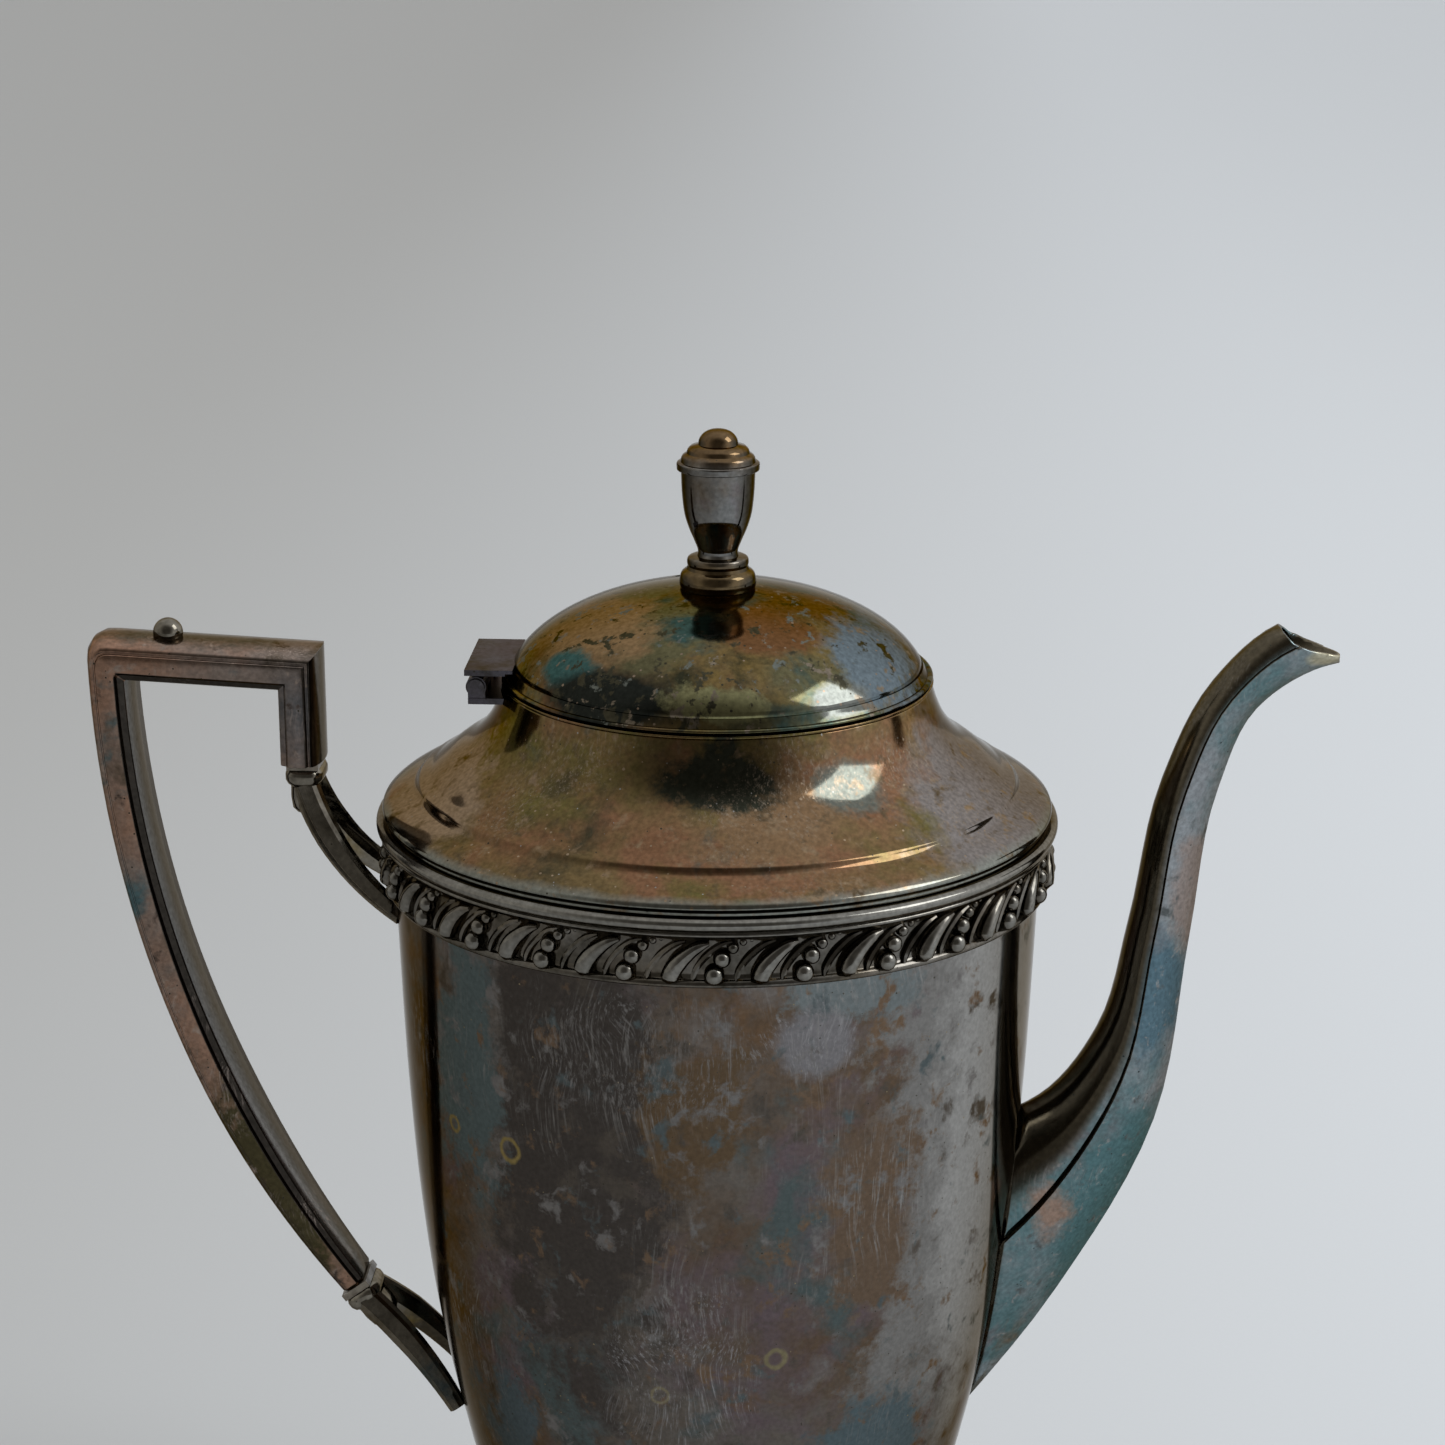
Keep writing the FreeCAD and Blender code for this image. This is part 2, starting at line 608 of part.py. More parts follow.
pin_hole = cylinder(pin_radius + pin_clearance, hinge_start, across, hinge_width)
bracket_plate = box(hinge_x - hinge_bracket_overhang, -neck_radius / 2, hinge_width / 2,
                    hinge_z - hinge_half_thickness, hinge_z - plate_inner)
bracket_knuckles = [knuckle(place, -hinge_bracket_overhang, hinge_web, -plate_inner, 0) for place in range(0, knuckle_count, 2)]
hinge_bracket = bracket_plate.cut(shoulder_envelope).fuse(bracket_knuckles).cut(pin_hole)
save("hinge_bracket", hinge_bracket)
leaf_plate = box(hinge_x - hinge_leaf_overhang, -lid_dome_edge + lid_wall, hinge_width / 2,
                 hinge_z + plate_inner, hinge_z + hinge_half_thickness)
leaf_knuckles = [knuckle(place, -hinge_bracket_overhang, hinge_web, 0, plate_inner) for place in range(1, knuckle_count, 2)]
lid_envelope = turned([at(0, lid_base)] + [at(lid_rim_radius, lid_base), at(lid_rim_radius, dome_base)]
                      + dome_points)
lid_hinge_leaf = leaf_plate.cut(lid_envelope).fuse(leaf_knuckles).cut(pin_hole)
save("lid_hinge_leaf", lid_hinge_leaf)
pin_ends = [cylinder(pin_head_radius, hinge_centre + across * side * (hinge_width / 2 - knuckle_clearance),
                     across * side, pin_head_height) for side in (1, -1)]
hinge_pin = cylinder(pin_radius, hinge_start, across, hinge_width).fuse(pin_ends)
save("hinge_pin", hinge_pin)
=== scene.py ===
import bpy
import math
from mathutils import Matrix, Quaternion, Vector


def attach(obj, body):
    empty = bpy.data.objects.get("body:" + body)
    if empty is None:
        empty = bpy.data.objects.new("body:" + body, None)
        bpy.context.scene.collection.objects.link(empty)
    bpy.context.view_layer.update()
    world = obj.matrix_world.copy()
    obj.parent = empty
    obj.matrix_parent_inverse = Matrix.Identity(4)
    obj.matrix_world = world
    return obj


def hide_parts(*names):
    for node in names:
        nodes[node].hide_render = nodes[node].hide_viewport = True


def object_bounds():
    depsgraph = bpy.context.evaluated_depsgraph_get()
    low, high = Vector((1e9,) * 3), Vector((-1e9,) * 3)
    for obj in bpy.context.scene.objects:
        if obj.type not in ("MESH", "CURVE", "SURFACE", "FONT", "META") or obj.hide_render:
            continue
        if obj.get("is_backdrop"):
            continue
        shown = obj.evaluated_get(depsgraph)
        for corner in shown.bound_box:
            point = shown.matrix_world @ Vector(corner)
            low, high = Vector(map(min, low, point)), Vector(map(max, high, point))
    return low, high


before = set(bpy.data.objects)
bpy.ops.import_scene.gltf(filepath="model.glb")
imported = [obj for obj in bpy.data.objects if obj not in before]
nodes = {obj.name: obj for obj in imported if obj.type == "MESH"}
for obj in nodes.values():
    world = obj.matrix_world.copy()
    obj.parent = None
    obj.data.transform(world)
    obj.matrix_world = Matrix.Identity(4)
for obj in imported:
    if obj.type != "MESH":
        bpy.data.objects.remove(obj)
cad_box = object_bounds()

# Camera: a short telephoto a little above the lid, close to square on to the handle and spout.
# It looks down on the middle of the shoulder, with the frame raised to leave air above the finial.
aim = Vector((0, 0, 0.180))
distance, elevation, swing, roll = 0.560, math.radians(18.06), math.radians(3.0), math.radians(0.17)
away = Vector((math.cos(elevation) * math.sin(swing), -math.cos(elevation) * math.cos(swing),
               math.sin(elevation)))
bpy.ops.object.camera_add(location=aim + away * distance)
camera = bpy.context.object
camera.rotation_mode = "QUATERNION"
camera.rotation_quaternion = (away * -1).to_track_quat("-Z", "Y") @ Quaternion((0, 0, 1), roll)
camera.data.sensor_width = 36
camera.data.lens = 82.7
camera.data.shift_x = 0.0037
camera.data.shift_y = 0.066
camera.data.clip_start = 0.01
bpy.context.scene.camera = camera
bpy.context.scene.view_settings.view_transform = "Standard"

# Table: one wide sheet of pale grey paper that runs out of sight behind the pot.
# Matt paper with a faint tooth, its colour painted a little brighter toward the window side as painted light.
def node(tree, kind, operation=None, **sockets):
    """A shader node with its sockets set to values or joined to other sockets."""
    made = tree.nodes.new("ShaderNode" + kind)
    if operation:
        made.operation = operation
    for socket, value in sockets.items():
        socket = made.inputs[int(socket[1:]) if socket[0] == "_" else socket.replace("_", " ")]
        if isinstance(value, bpy.types.NodeSocket):
            tree.links.new(value, socket)
        else:
            socket.default_value = value
    return made


def blended(tree, factor, a, b):
    """A colour between two colours."""
    mix = tree.nodes.new("ShaderNodeMix")
    mix.data_type = "RGBA"
    for socket, value in (("Factor", factor), ("A", a), ("B", b)):
        if isinstance(value, bpy.types.NodeSocket):
            tree.links.new(value, mix.inputs[socket])
        else:
            mix.inputs[socket].default_value = value
    return mix.outputs["Result"]


table_radius, tooth_scale = 9, 900.0
bpy.ops.object.select_all(action="DESELECT")
bpy.ops.mesh.primitive_circle_add(vertices=96, radius=table_radius, fill_type="NGON", location=(0, 0, 0))
table = bpy.context.object
table.name = "table_paper"
paper = bpy.data.materials.new("table_paper")
paper.use_nodes = True
tree = paper.node_tree
shader = tree.nodes["Principled BSDF"]
shader.inputs["Roughness"].default_value = 0.85
shader.inputs["Specular IOR Level"].default_value = 0.2
place = node(tree, "TexCoord").outputs["Object"]
tooth = node(tree, "TexNoise", Vector=place, Scale=tooth_scale).outputs["Fac"]
tint = blended(tree, tooth, (0.98, 0.98, 0.98, 1), (1, 1, 1, 1))
# painted light: the paper's colour is ramped lighter toward the window at +x
window_side_lean = node(tree, "Mapping", Vector=place, Location=(0.58, 0, 0), Scale=(1.4, 0, 0)).outputs["Vector"]
window_side_lean = node(tree, "VectorMath", "DOT_PRODUCT", _0=window_side_lean, _1=(1, 1, 0)).outputs["Value"]
ramp = node(tree, "ValToRGB", Fac=window_side_lean)
ramp.color_ramp.interpolation = "EASE"
ramp.color_ramp.elements[0].color = (0.495, 0.49, 0.477, 1)
ramp.color_ramp.elements[1].color = (0.772, 0.797, 0.825, 1)
shade = node(tree, "VectorMath", "MULTIPLY", _0=ramp.outputs["Color"], _1=tint).outputs["Vector"]
tree.links.new(shade, shader.inputs["Base Color"])
table.data.materials.append(paper)
table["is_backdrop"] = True

# Light: a pale room with one tall window at the right, and a darker side behind the camera.
# Past the edge of the paper the camera sees a plain pale wall.
world = bpy.data.worlds.new("room")
bpy.context.scene.world = world
world.use_nodes = True
tree = world.node_tree
ground = tree.nodes["Background"]
ground.inputs["Strength"].default_value = 1.05
direction = node(tree, "TexCoord").outputs["Generated"]
room = (0.50, 0.49, 0.46, 1)
for toward, low, high, tone in (((0.85, 0.35, 0.1), -0.9, 0.9, (1.0, 1.03, 1.07, 1)),
                                ((0.0, -0.89, 0.45), 0.50, 0.95, (0.13, 0.125, 0.115, 1))):
    lean = node(tree, "VectorMath", "DOT_PRODUCT", _0=direction, _1=toward).outputs["Value"]
    share = node(tree, "MapRange", Value=lean, From_Min=low, From_Max=high)
    share.interpolation_type = "SMOOTHSTEP"
    room = blended(tree, share.outputs["Result"], room, tone)
seen = node(tree, "LightPath").outputs["Is Camera Ray"]
tree.links.new(blended(tree, seen, room, (0.56, 0.58, 0.59, 1)), ground.inputs["Color"])
window_place = Vector((1.65, -0.2, 1.65))
bpy.ops.object.light_add(type="AREA", location=window_place)
window = bpy.context.object
window.name = "window"
window.rotation_euler = (Vector((0, 0, 0.15)) - window_place).to_track_quat("-Z", "Y").to_euler()
window.data.shape = "RECTANGLE"
window.data.size = 1.0
window.data.size_y = 1.2
window.data.energy = 16
window.data.color = (0.95, 0.98, 1.0)

# Foot rim: the heavy wire that the pot stands on, silver plate on nickel, soldered round the foot.
# Its outside is rounded and its under face is flat, with the plating worn along the edge.
mm = 0.001
weld, patch_scale = 0.002, 110.0


def fair(points, cuts=6):
    """A smooth line through the points; a point written twice in a row is a sharp corner."""
    runs = [[Vector(points[0])]]
    for a, b in zip(points, points[1:]):
        if a == b:
            runs.append([Vector(b)])
        else:
            runs[-1].append(Vector(b))
    line = [runs[0][0]]
    for run in runs:
        gaps = [(b - a).length for a, b in zip(run, run[1:])]
        if len(run) < 3:
            line += run[1:]
            continue
        slopes = [(run[1] - run[0]) / gaps[0]]
        for i in range(1, len(gaps)):
            before, after = gaps[i - 1], gaps[i]
            back, on = (run[i] - run[i - 1]) / before, (run[i + 1] - run[i]) / after
            slopes.append((back * after + on * before) / (before + after))
        slopes.append((run[-1] - run[-2]) / gaps[-1])
        for i, gap in enumerate(gaps):
            for k in range(1, cuts + 1):
                t = k / cuts
                point = run[i] * (2 * t ** 3 - 3 * t ** 2 + 1) + run[i + 1] * (3 * t ** 2 - 2 * t ** 3)
                point += slopes[i] * gap * (t ** 3 - 2 * t ** 2 + t)
                point += slopes[i + 1] * gap * (t ** 3 - t ** 2)
                line.append(point)
    return line


def drawn(name, line):
    """One chain of edges through the points, in millimetres, left open in edit mode with its end selected."""
    bpy.ops.object.select_all(action="DESELECT")
    bpy.ops.mesh.primitive_plane_add(size=mm, location=(0, 0, 0))
    piece = bpy.context.object
    piece.name = piece.data.name = name
    bpy.ops.object.mode_set(mode="EDIT")
    bpy.ops.mesh.merge(type="CENTER")
    bpy.ops.transform.translate(value=Vector(line[0]) * mm)
    for a, b in zip(line, line[1:]):
        bpy.ops.mesh.extrude_vertices_move(TRANSFORM_OT_translate={"value": (Vector(b) - Vector(a)) * mm})
    return piece


def settle(piece, angle=30):
    """Joins the seams, turns the faces outward and smooths all but the sharp edges."""
    bpy.ops.mesh.select_all(action="SELECT")
    bpy.ops.mesh.remove_doubles(threshold=weld * mm)
    bpy.ops.mesh.normals_make_consistent(inside=False)
    bpy.ops.object.mode_set(mode="OBJECT")
    bpy.ops.object.shade_smooth_by_angle(angle=math.radians(angle))
    return piece


def turned(name, profile, steps=160, angle=30):
    """A profile of (radius, height) points spun once round the pot's axis."""
    piece = drawn(name, [(radius, 0, height) for radius, height in profile])
    bpy.ops.mesh.select_all(action="SELECT")
    bpy.ops.mesh.spin(steps=steps, angle=2 * math.pi, center=(0, 0, 0), axis=(0, 0, 1))
    return settle(piece, angle)


def changed(piece, kind, **settings):
    """Adds a modifier, sets it and applies it."""
    modifier = piece.modifiers.new(kind.lower(), kind)
    for setting, value in settings.items():
        setattr(modifier, setting, value)
    bpy.context.view_layer.objects.active = piece
    bpy.ops.object.modifier_apply(modifier=modifier.name)


def cut(piece, cutter):
    """Takes one solid out of another and throws the cutter away."""
    changed(piece, "BOOLEAN", operation="DIFFERENCE", solver="EXACT", object=cutter)
    bpy.data.objects.remove(cutter)


def lofted(name, ring, starts, ends, halves, ends_filled=False):
    """A skin through sections, each from a start to an end in the middle plane, with its own half width."""
    deep = ends[0] - starts[0]
    points = [starts[0] + deep * down + Vector((0, halves[0] * side, 0)) for down, side in ring]
    piece = drawn(name, points + points[:1])
    bpy.ops.mesh.select_all(action="SELECT")
    bpy.ops.mesh.remove_doubles(threshold=weld * mm)
    if ends_filled:
        bpy.ops.mesh.edge_face_add()
    for i in range(1, len(starts)):
        was, now = ends[i - 1] - starts[i - 1], ends[i] - starts[i]
        turn = math.atan2(now.z, now.x) - math.atan2(was.z, was.x)
        longer, wider = now.length / was.length, halves[i] / halves[i - 1]
        bpy.ops.mesh.extrude_region_move(TRANSFORM_OT_translate={"value": (starts[i] - starts[i - 1]) * mm})
        bpy.ops.transform.resize(value=(longer, wider, longer), center_override=starts[i] * mm)
        bpy.ops.transform.rotate(value=turn, orient_axis="Y", center_override=starts[i] * mm)
    return piece


def group(name, **sockets):
    """An empty node group with its inputs and one mask to give out, and the ends of both."""
    tree = bpy.data.node_groups.new(name, "ShaderNodeTree")
    for socket, kind in sockets.items():
        tree.interface.new_socket(socket, in_out="INPUT", socket_type="NodeSocket" + kind)
    tree.interface.new_socket("Mask", in_out="OUTPUT", socket_type="NodeSocketFloat")
    return tree, tree.nodes.new("NodeGroupInput").outputs, tree.nodes.new("NodeGroupOutput").inputs


# a cloud of tarnish with ragged edges
cloud, given, out = group("tarnish_cloud", Vector="Vector", Scale="Float", Level="Float", Softness="Float",
                          Warp="Float")
drift = node(cloud, "TexNoise", Vector=given["Vector"], Scale=given["Scale"], Detail=2.0)
push = node(cloud, "VectorMath", "SUBTRACT", _0=drift.outputs["Color"], _1=(0.5, 0.5, 0.5))
push = node(cloud, "VectorMath", "SCALE", _0=push.outputs["Vector"], Scale=given["Warp"])
moved = node(cloud, "VectorMath", "ADD", _0=given["Vector"], _1=push.outputs["Vector"])
field = node(cloud, "TexNoise", Vector=moved.outputs["Vector"], Scale=given["Scale"], Detail=8.0,
             Roughness=0.62)
low = node(cloud, "Math", "SUBTRACT", _0=given["Level"], _1=given["Softness"])
high = node(cloud, "Math", "ADD", _0=given["Level"], _1=given["Softness"])
edge = node(cloud, "MapRange", Value=field.outputs["Fac"], From_Min=low.outputs["Value"],
            From_Max=high.outputs["Value"])
cloud.links.new(edge.outputs["Result"], out["Mask"])

# one patch at a known place, with a ragged edge: a stain, or a patch of painted light or shade
stain_and_painted_light_patch, given, out = group("patch_of_stain_and_painted_light", Vector="Vector", Centre="Vector", Reach="Vector", Ragged="Float",
                         Scale="Float")
offset = node(stain_and_painted_light_patch, "VectorMath", "SUBTRACT", _0=given["Vector"], _1=given["Centre"])
share = node(stain_and_painted_light_patch, "VectorMath", "DIVIDE", _0=offset.outputs["Vector"], _1=given["Reach"])
length = node(stain_and_painted_light_patch, "VectorMath", "LENGTH", _0=share.outputs["Vector"])
grain = node(stain_and_painted_light_patch, "TexNoise", Vector=given["Vector"], Scale=given["Scale"], Detail=9.0, Roughness=0.7)
grain = node(stain_and_painted_light_patch, "Math", "SUBTRACT", _0=grain.outputs["Fac"], _1=0.5)
grain = node(stain_and_painted_light_patch, "Math", "MULTIPLY_ADD", _0=grain.outputs["Value"], _1=given["Ragged"],
             _2=length.outputs["Value"])
edge = node(stain_and_painted_light_patch, "MapRange", Value=grain.outputs["Value"], From_Min=1.06, From_Max=0.72)
stain_and_painted_light_patch.links.new(edge.outputs["Result"], out["Mask"])

# small spots where the film has broken or the plating is pitted
specks, given, out = group("tarnish_specks", Vector="Vector", Scale="Float", Size="Float", Share="Float")
cells = node(specks, "TexVoronoi", Vector=given["Vector"], Scale=given["Scale"])
chance = node(specks, "SeparateColor", Color=cells.outputs["Color"])
size = node(specks, "Math", "MULTIPLY", _0=chance.outputs["Green"], _1=given["Size"])
spot = node(specks, "Math", "LESS_THAN", _0=cells.outputs["Distance"], _1=size.outputs["Value"])
kept = node(specks, "Math", "LESS_THAN", _0=chance.outputs["Red"], _1=given["Share"])
spot = node(specks, "Math", "MULTIPLY", _0=spot.outputs["Value"], _1=kept.outputs["Value"])
specks.links.new(spot.outputs["Value"], out["Mask"])

# hairlines left by wiping, a little bent, in two crossing directions
rubs, given, out = group("rub_marks", Vector="Vector", Scale="Float", Level="Float")
bend = node(rubs, "TexNoise", Vector=given["Vector"], Scale=given["Scale"], Detail=1.0)
bend = node(rubs, "VectorMath", "SUBTRACT", _0=bend.outputs["Color"], _1=(0.5, 0.5, 0.5))
bend = node(rubs, "VectorMath", "SCALE", _0=bend.outputs["Vector"], Scale=0.011)
bent = node(rubs, "VectorMath", "ADD", _0=given["Vector"], _1=bend.outputs["Vector"])
marks = []
for turn, stretch in ((0.6, (38, 38, 1.3)), (-1.1, (32, 32, 1.1))):
    lay = node(rubs, "Mapping", Vector=bent.outputs["Vector"], Rotation=(0.3, turn, 0.2), Scale=stretch)
    streak = node(rubs, "TexNoise", Vector=lay.outputs["Vector"], Scale=given["Scale"], Detail=5.0,
                  Roughness=0.7)
    marks.append(node(rubs, "MapRange", Value=streak.outputs["Fac"], From_Min=0.55, From_Max=0.68))
where = node(rubs, "TexNoise", Vector=given["Vector"], Scale=given["Scale"], Detail=3.0)
where = node(rubs, "MapRange", Value=where.outputs["Fac"], From_Min=given["Level"], From_Max=0.7)
both = node(rubs, "Math", "MAXIMUM", _0=marks[0].outputs["Result"], _1=marks[1].outputs["Result"])
both = node(rubs, "Math", "MULTIPLY", _0=both.outputs["Value"], _1=where.outputs["Result"])
rubs.links.new(both.outputs["Value"], out["Mask"])

# a dried drop: a thin ring round a paler middle
drop, given, out = group("dried_drop", Vector="Vector", Centre="Vector", Reach="Float")
offset = node(drop, "VectorMath", "SUBTRACT", _0=given["Vector"], _1=given["Centre"])
shape = node(drop, "TexNoise", Vector=given["Vector"], Scale=500.0, Detail=3.0)
shape = node(drop, "MapRange", Value=shape.outputs["Fac"], To_Min=0.75, To_Max=1.25)
length = node(drop, "VectorMath", "LENGTH", _0=offset.outputs["Vector"])
length = node(drop, "Math", "DIVIDE", _0=length.outputs["Value"], _1=given["Reach"])
length = node(drop, "Math", "MULTIPLY", _0=length.outputs["Value"], _1=shape.outputs["Result"])
away_from = node(drop, "Math", "SUBTRACT", _0=length.outputs["Value"], _1=0.8)
away_from = node(drop, "Math", "ABSOLUTE", _0=away_from.outputs["Value"])
edge = node(drop, "MapRange", Value=away_from.outputs["Value"], From_Min=0.24, From_Max=0.06)
drop.links.new(edge.outputs["Result"], out["Mask"])


def masked(tree, kind, **sockets):
    """The mask of one of the groups above."""
    made = tree.nodes.new("ShaderNodeGroup")
    made.node_tree = kind
    for socket, value in sockets.items():
        if isinstance(value, bpy.types.NodeSocket):
            tree.links.new(value, made.inputs[socket])
        else:
            made.inputs[socket].default_value = value
    return made.outputs["Mask"]


def clouded(tree, place, colour, layers):
    """Lays ragged clouds of film over a colour."""
    for i, (layer_colour, scale, level, softness) in enumerate(layers):
        moved = node(tree, "VectorMath", "ADD", _0=place, _1=(0.37 * i, 0.11 * i, 0.23 * i)).outputs["Vector"]
        mask = masked(tree, cloud, Vector=moved, Scale=scale, Level=level, Softness=softness,
                      Warp=0.6 / scale)
        colour = blended(tree, mask, colour, (*layer_colour, 1))
    return colour


def tarnish_and_painted_light(name, silver, films=(), stains_and_painted_light=(), flakes=(), spots=(), rubbed=None, scuffs=(), drops=(),
              painted_light_by_facing=(), worn=None, gloss=(0.08, 0.18), wave=0.04, grit=0.2, shift=0.0):
    """Tarnished plate with some painted light and shade, laid up from the metal outward. Each layer opens
    with its colour; lengths are in mm.

    films and flakes: scale, level and softness of a cloud. Patches, of stain or of painted light and shade:
    centre, reach and raggedness.
    Painted light and shade by the way a face turns: direction, and where the painted colour begins and is
    full. spots: scale, size and share of cells.
    drops and scuffs: centre and reach. rubbed: scale and level. worn: the radii between which it grows.
    """
    material = bpy.data.materials.new(name)
    material.use_nodes = True
    tree = material.node_tree
    shader = tree.nodes["Principled BSDF"]
    shader.inputs["Metallic"].default_value = 1.0
    shader.inputs["Specular Tint"].default_value = (0.45, 0.40, 0.34, 1)
    whole = node(tree, "TexCoord")
    still = whole.outputs["Object"]
    place = node(tree, "VectorMath", "ADD", _0=still, _1=(shift, shift * 0.7, shift * 0.4)).outputs["Vector"]
    tone = node(tree, "TexNoise", Vector=place, Scale=32.0, Detail=6.0, Roughness=0.6).outputs["Fac"]
    colour = blended(tree, tone, (*[c * 0.65 for c in silver], 1), (*[c * 1.35 for c in silver], 1))
    rough = node(tree, "MapRange", Value=tone, From_Min=0.3, From_Max=0.7, To_Min=gloss[0], To_Max=gloss[1])
    rough = rough.outputs["Result"]
    colour = clouded(tree, place, colour, films)
    # patches of stain, and patches of painted light, shade and reflection
    for layer_colour, centre, reach, ragged in stains_and_painted_light:
        mask = masked(tree, stain_and_painted_light_patch, Vector=still, Centre=Vector(centre) * mm, Reach=Vector(reach) * mm,
                      Ragged=ragged, Scale=patch_scale)
        colour = blended(tree, mask, colour, (*layer_colour, 1))
    colour = clouded(tree, place, colour, flakes)
    # painted light and shade: colour set by which way a face turns
    for layer_colour, toward, low, high in painted_light_by_facing:
        turned_to = node(tree, "VectorMath", "DOT_PRODUCT", _0=whole.outputs["Normal"], _1=toward)
        turned_to = node(tree, "MapRange", Value=turned_to.outputs["Value"], From_Min=low, From_Max=high)
        colour = blended(tree, turned_to.outputs["Result"], colour, (*layer_colour, 1))
    for layer_colour, scale, size, share in spots:
        mask = masked(tree, specks, Vector=place, Scale=scale, Size=size, Share=share)
        colour = blended(tree, mask, colour, (*layer_colour, 1))
        rough = node(tree, "Math", "MULTIPLY_ADD", _0=mask, _1=0.12, _2=rough).outputs["Value"]
    for layer_colour, centre, reach in drops:
        mask = masked(tree, drop, Vector=still, Centre=Vector(centre) * mm, Reach=reach * mm)
        colour = blended(tree, mask, colour, (*layer_colour, 1))
    if rubbed:
        layer_colour, scale, level = rubbed
        mask = masked(tree, rubs, Vector=still, Scale=scale, Level=level)
        colour = blended(tree, mask, colour, (*layer_colour, 1))
        rough = node(tree, "Math", "MULTIPLY_ADD", _0=mask, _1=0.14, _2=rough).outputs["Value"]
    for layer_colour, centre, reach in scuffs:
        patch = masked(tree, stain_and_painted_light_patch, Vector=still, Centre=Vector(centre) * mm, Reach=Vector(reach) * mm,
                       Ragged=2.0, Scale=patch_scale)
        lines = masked(tree, rubs, Vector=still, Scale=60.0, Level=0.1)
        mask = node(tree, "Math", "MULTIPLY", _0=patch, _1=lines).outputs["Value"]
        colour = blended(tree, mask, colour, (*layer_colour, 1))
    if worn:
        layer_colour, low, high = worn
        across = node(tree, "VectorMath", "MULTIPLY", _0=still, _1=(1, 1, 0)).outputs["Vector"]
        across = node(tree, "VectorMath", "LENGTH", _0=across).outputs["Value"]
        proud = node(tree, "MapRange", Value=across, From_Min=low * mm, From_Max=high * mm).outputs["Result"]
        colour = blended(tree, proud, colour, (*layer_colour, 1))
    grain = node(tree, "TexNoise", Vector=place, Scale=1300.0, Detail=2.0).outputs["Fac"]
    grain = node(tree, "MapRange", Value=grain, From_Min=0.3, From_Max=0.7, To_Min=1 - grit,
                 To_Max=1 + grit).outputs["Result"]
    colour = node(tree, "VectorMath", "SCALE", _0=colour, Scale=grain).outputs["Vector"]
    swell = node(tree, "TexNoise", Vector=still, Scale=45.0, Detail=3.0, Roughness=0.4)
    bump = node(tree, "Bump", Strength=wave, Distance=0.4 * mm, Height=swell.outputs["Fac"])
    tree.links.new(colour, shader.inputs["Base Color"])
    tree.links.new(rough, shader.inputs["Roughness"])
    tree.links.new(bump.outputs["Normal"], shader.inputs["Normal"])
    return material


def placed(piece, material, body, slot, *stands_for):
    """Gives a new piece its material and its body, and hides the solids that it stands for. The slot is not
    used.
    """
    piece.data.materials.append(material)
    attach(piece, body)
    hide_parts(*stands_for)


grey, brown = (0.26, 0.25, 0.24), (0.16, 0.10, 0.06)
purple, teal, dark = (0.15, 0.12, 0.13), (0.06, 0.14, 0.15), (0.045, 0.04, 0.03)
foot_plate = tarnish_and_painted_light(
    "foot_plate", silver=(0.19, 0.18, 0.17),
    films=[(brown, 40, 0.54, 0.12),
           (teal, 55, 0.64, 0.08)],
    flakes=[(dark, 260, 0.66, 0.06)],
    spots=[(dark, 1600, 0.3, 0.06)],
    rubbed=(grey, 60, 0.5), shift=2.0)
foot_rim = turned("foot_rim_wire", fair(
    [(35.2, 0), (35.2, 0), (37.4, 0), (37.4, 0), (38.0, 0.9), (38.0, 2.6), (37.5, 3.4), (36.8, 3.6),
     (36.8, 3.6), (35.2, 3.6), (35.2, 3.6), (35.2, 0)], 4))
placed(foot_rim, foot_plate, "pot", "foot_silver", "foot_rim")

# Foot: a low trumpet spun from sheet, open underneath, soldered into the rim wire below.
# The knop above it is a turned ring that joins it to the bowl.
foot = turned("foot_trumpet", fair(
    [(36.8, 3.6), (32.0, 5.4), (23.8, 9.2), (15.6, 15.2), (12.7, 20.5), (12.5, 23.5)], 8))
changed(foot, "SOLIDIFY", thickness=1.2 * mm, offset=-1)
placed(foot, foot_plate, "pot", "foot_silver", "foot")
knop = turned("stem_knop_ring", fair(
    [(10.5, 23.5), (10.5, 23.5), (12.9, 23.5), (14.3, 24.2), (14.6, 25.5), (14.3, 26.8), (12.9, 27.5),
     (10.5, 27.5), (10.5, 27.5), (10.5, 23.5)], 5))
placed(knop, foot_plate, "pot", "foot_silver", "stem_knop")

# Body: the deep tapering bowl, raised from one sheet and planished smooth, then silver plated.
# Its side is almost straight under the border and rounds in to the knop. Behind the spout it is pierced.
# Wiping has left hairlines and swirls in the tarnish.
bowl = [(12, 27.5), (25, 33), (33, 42), (39.8, 55), (45.26, 75), (49.05, 95), (51.45, 115), (52.9, 135),
        (53.95, 160), (54.6, 182)]
strainer_height, strainer_ring, hole_radius = 110, 8, 2.3
body = turned("body_bowl", fair([(0, 27.5), bowl[0], *bowl], 8), 192)
changed(body, "SOLIDIFY", thickness=1.0 * mm, offset=-1)
spokes = [turn * math.pi / 3 for turn in range(6)]
holes = [(0, 0)] + [(strainer_ring * math.cos(turn), strainer_ring * math.sin(turn)) for turn in spokes]
for side, up in holes:
    bpy.ops.object.select_all(action="DESELECT")
    bpy.ops.mesh.primitive_cylinder_add(vertices=32, radius=hole_radius * mm, depth=20 * mm,
                                        rotation=(0, math.pi / 2, 0),
                                        location=(50 * mm, side * mm, (strainer_height + up) * mm))
    cut(body, bpy.context.object)
bpy.ops.object.shade_smooth_by_angle(angle=math.radians(30))
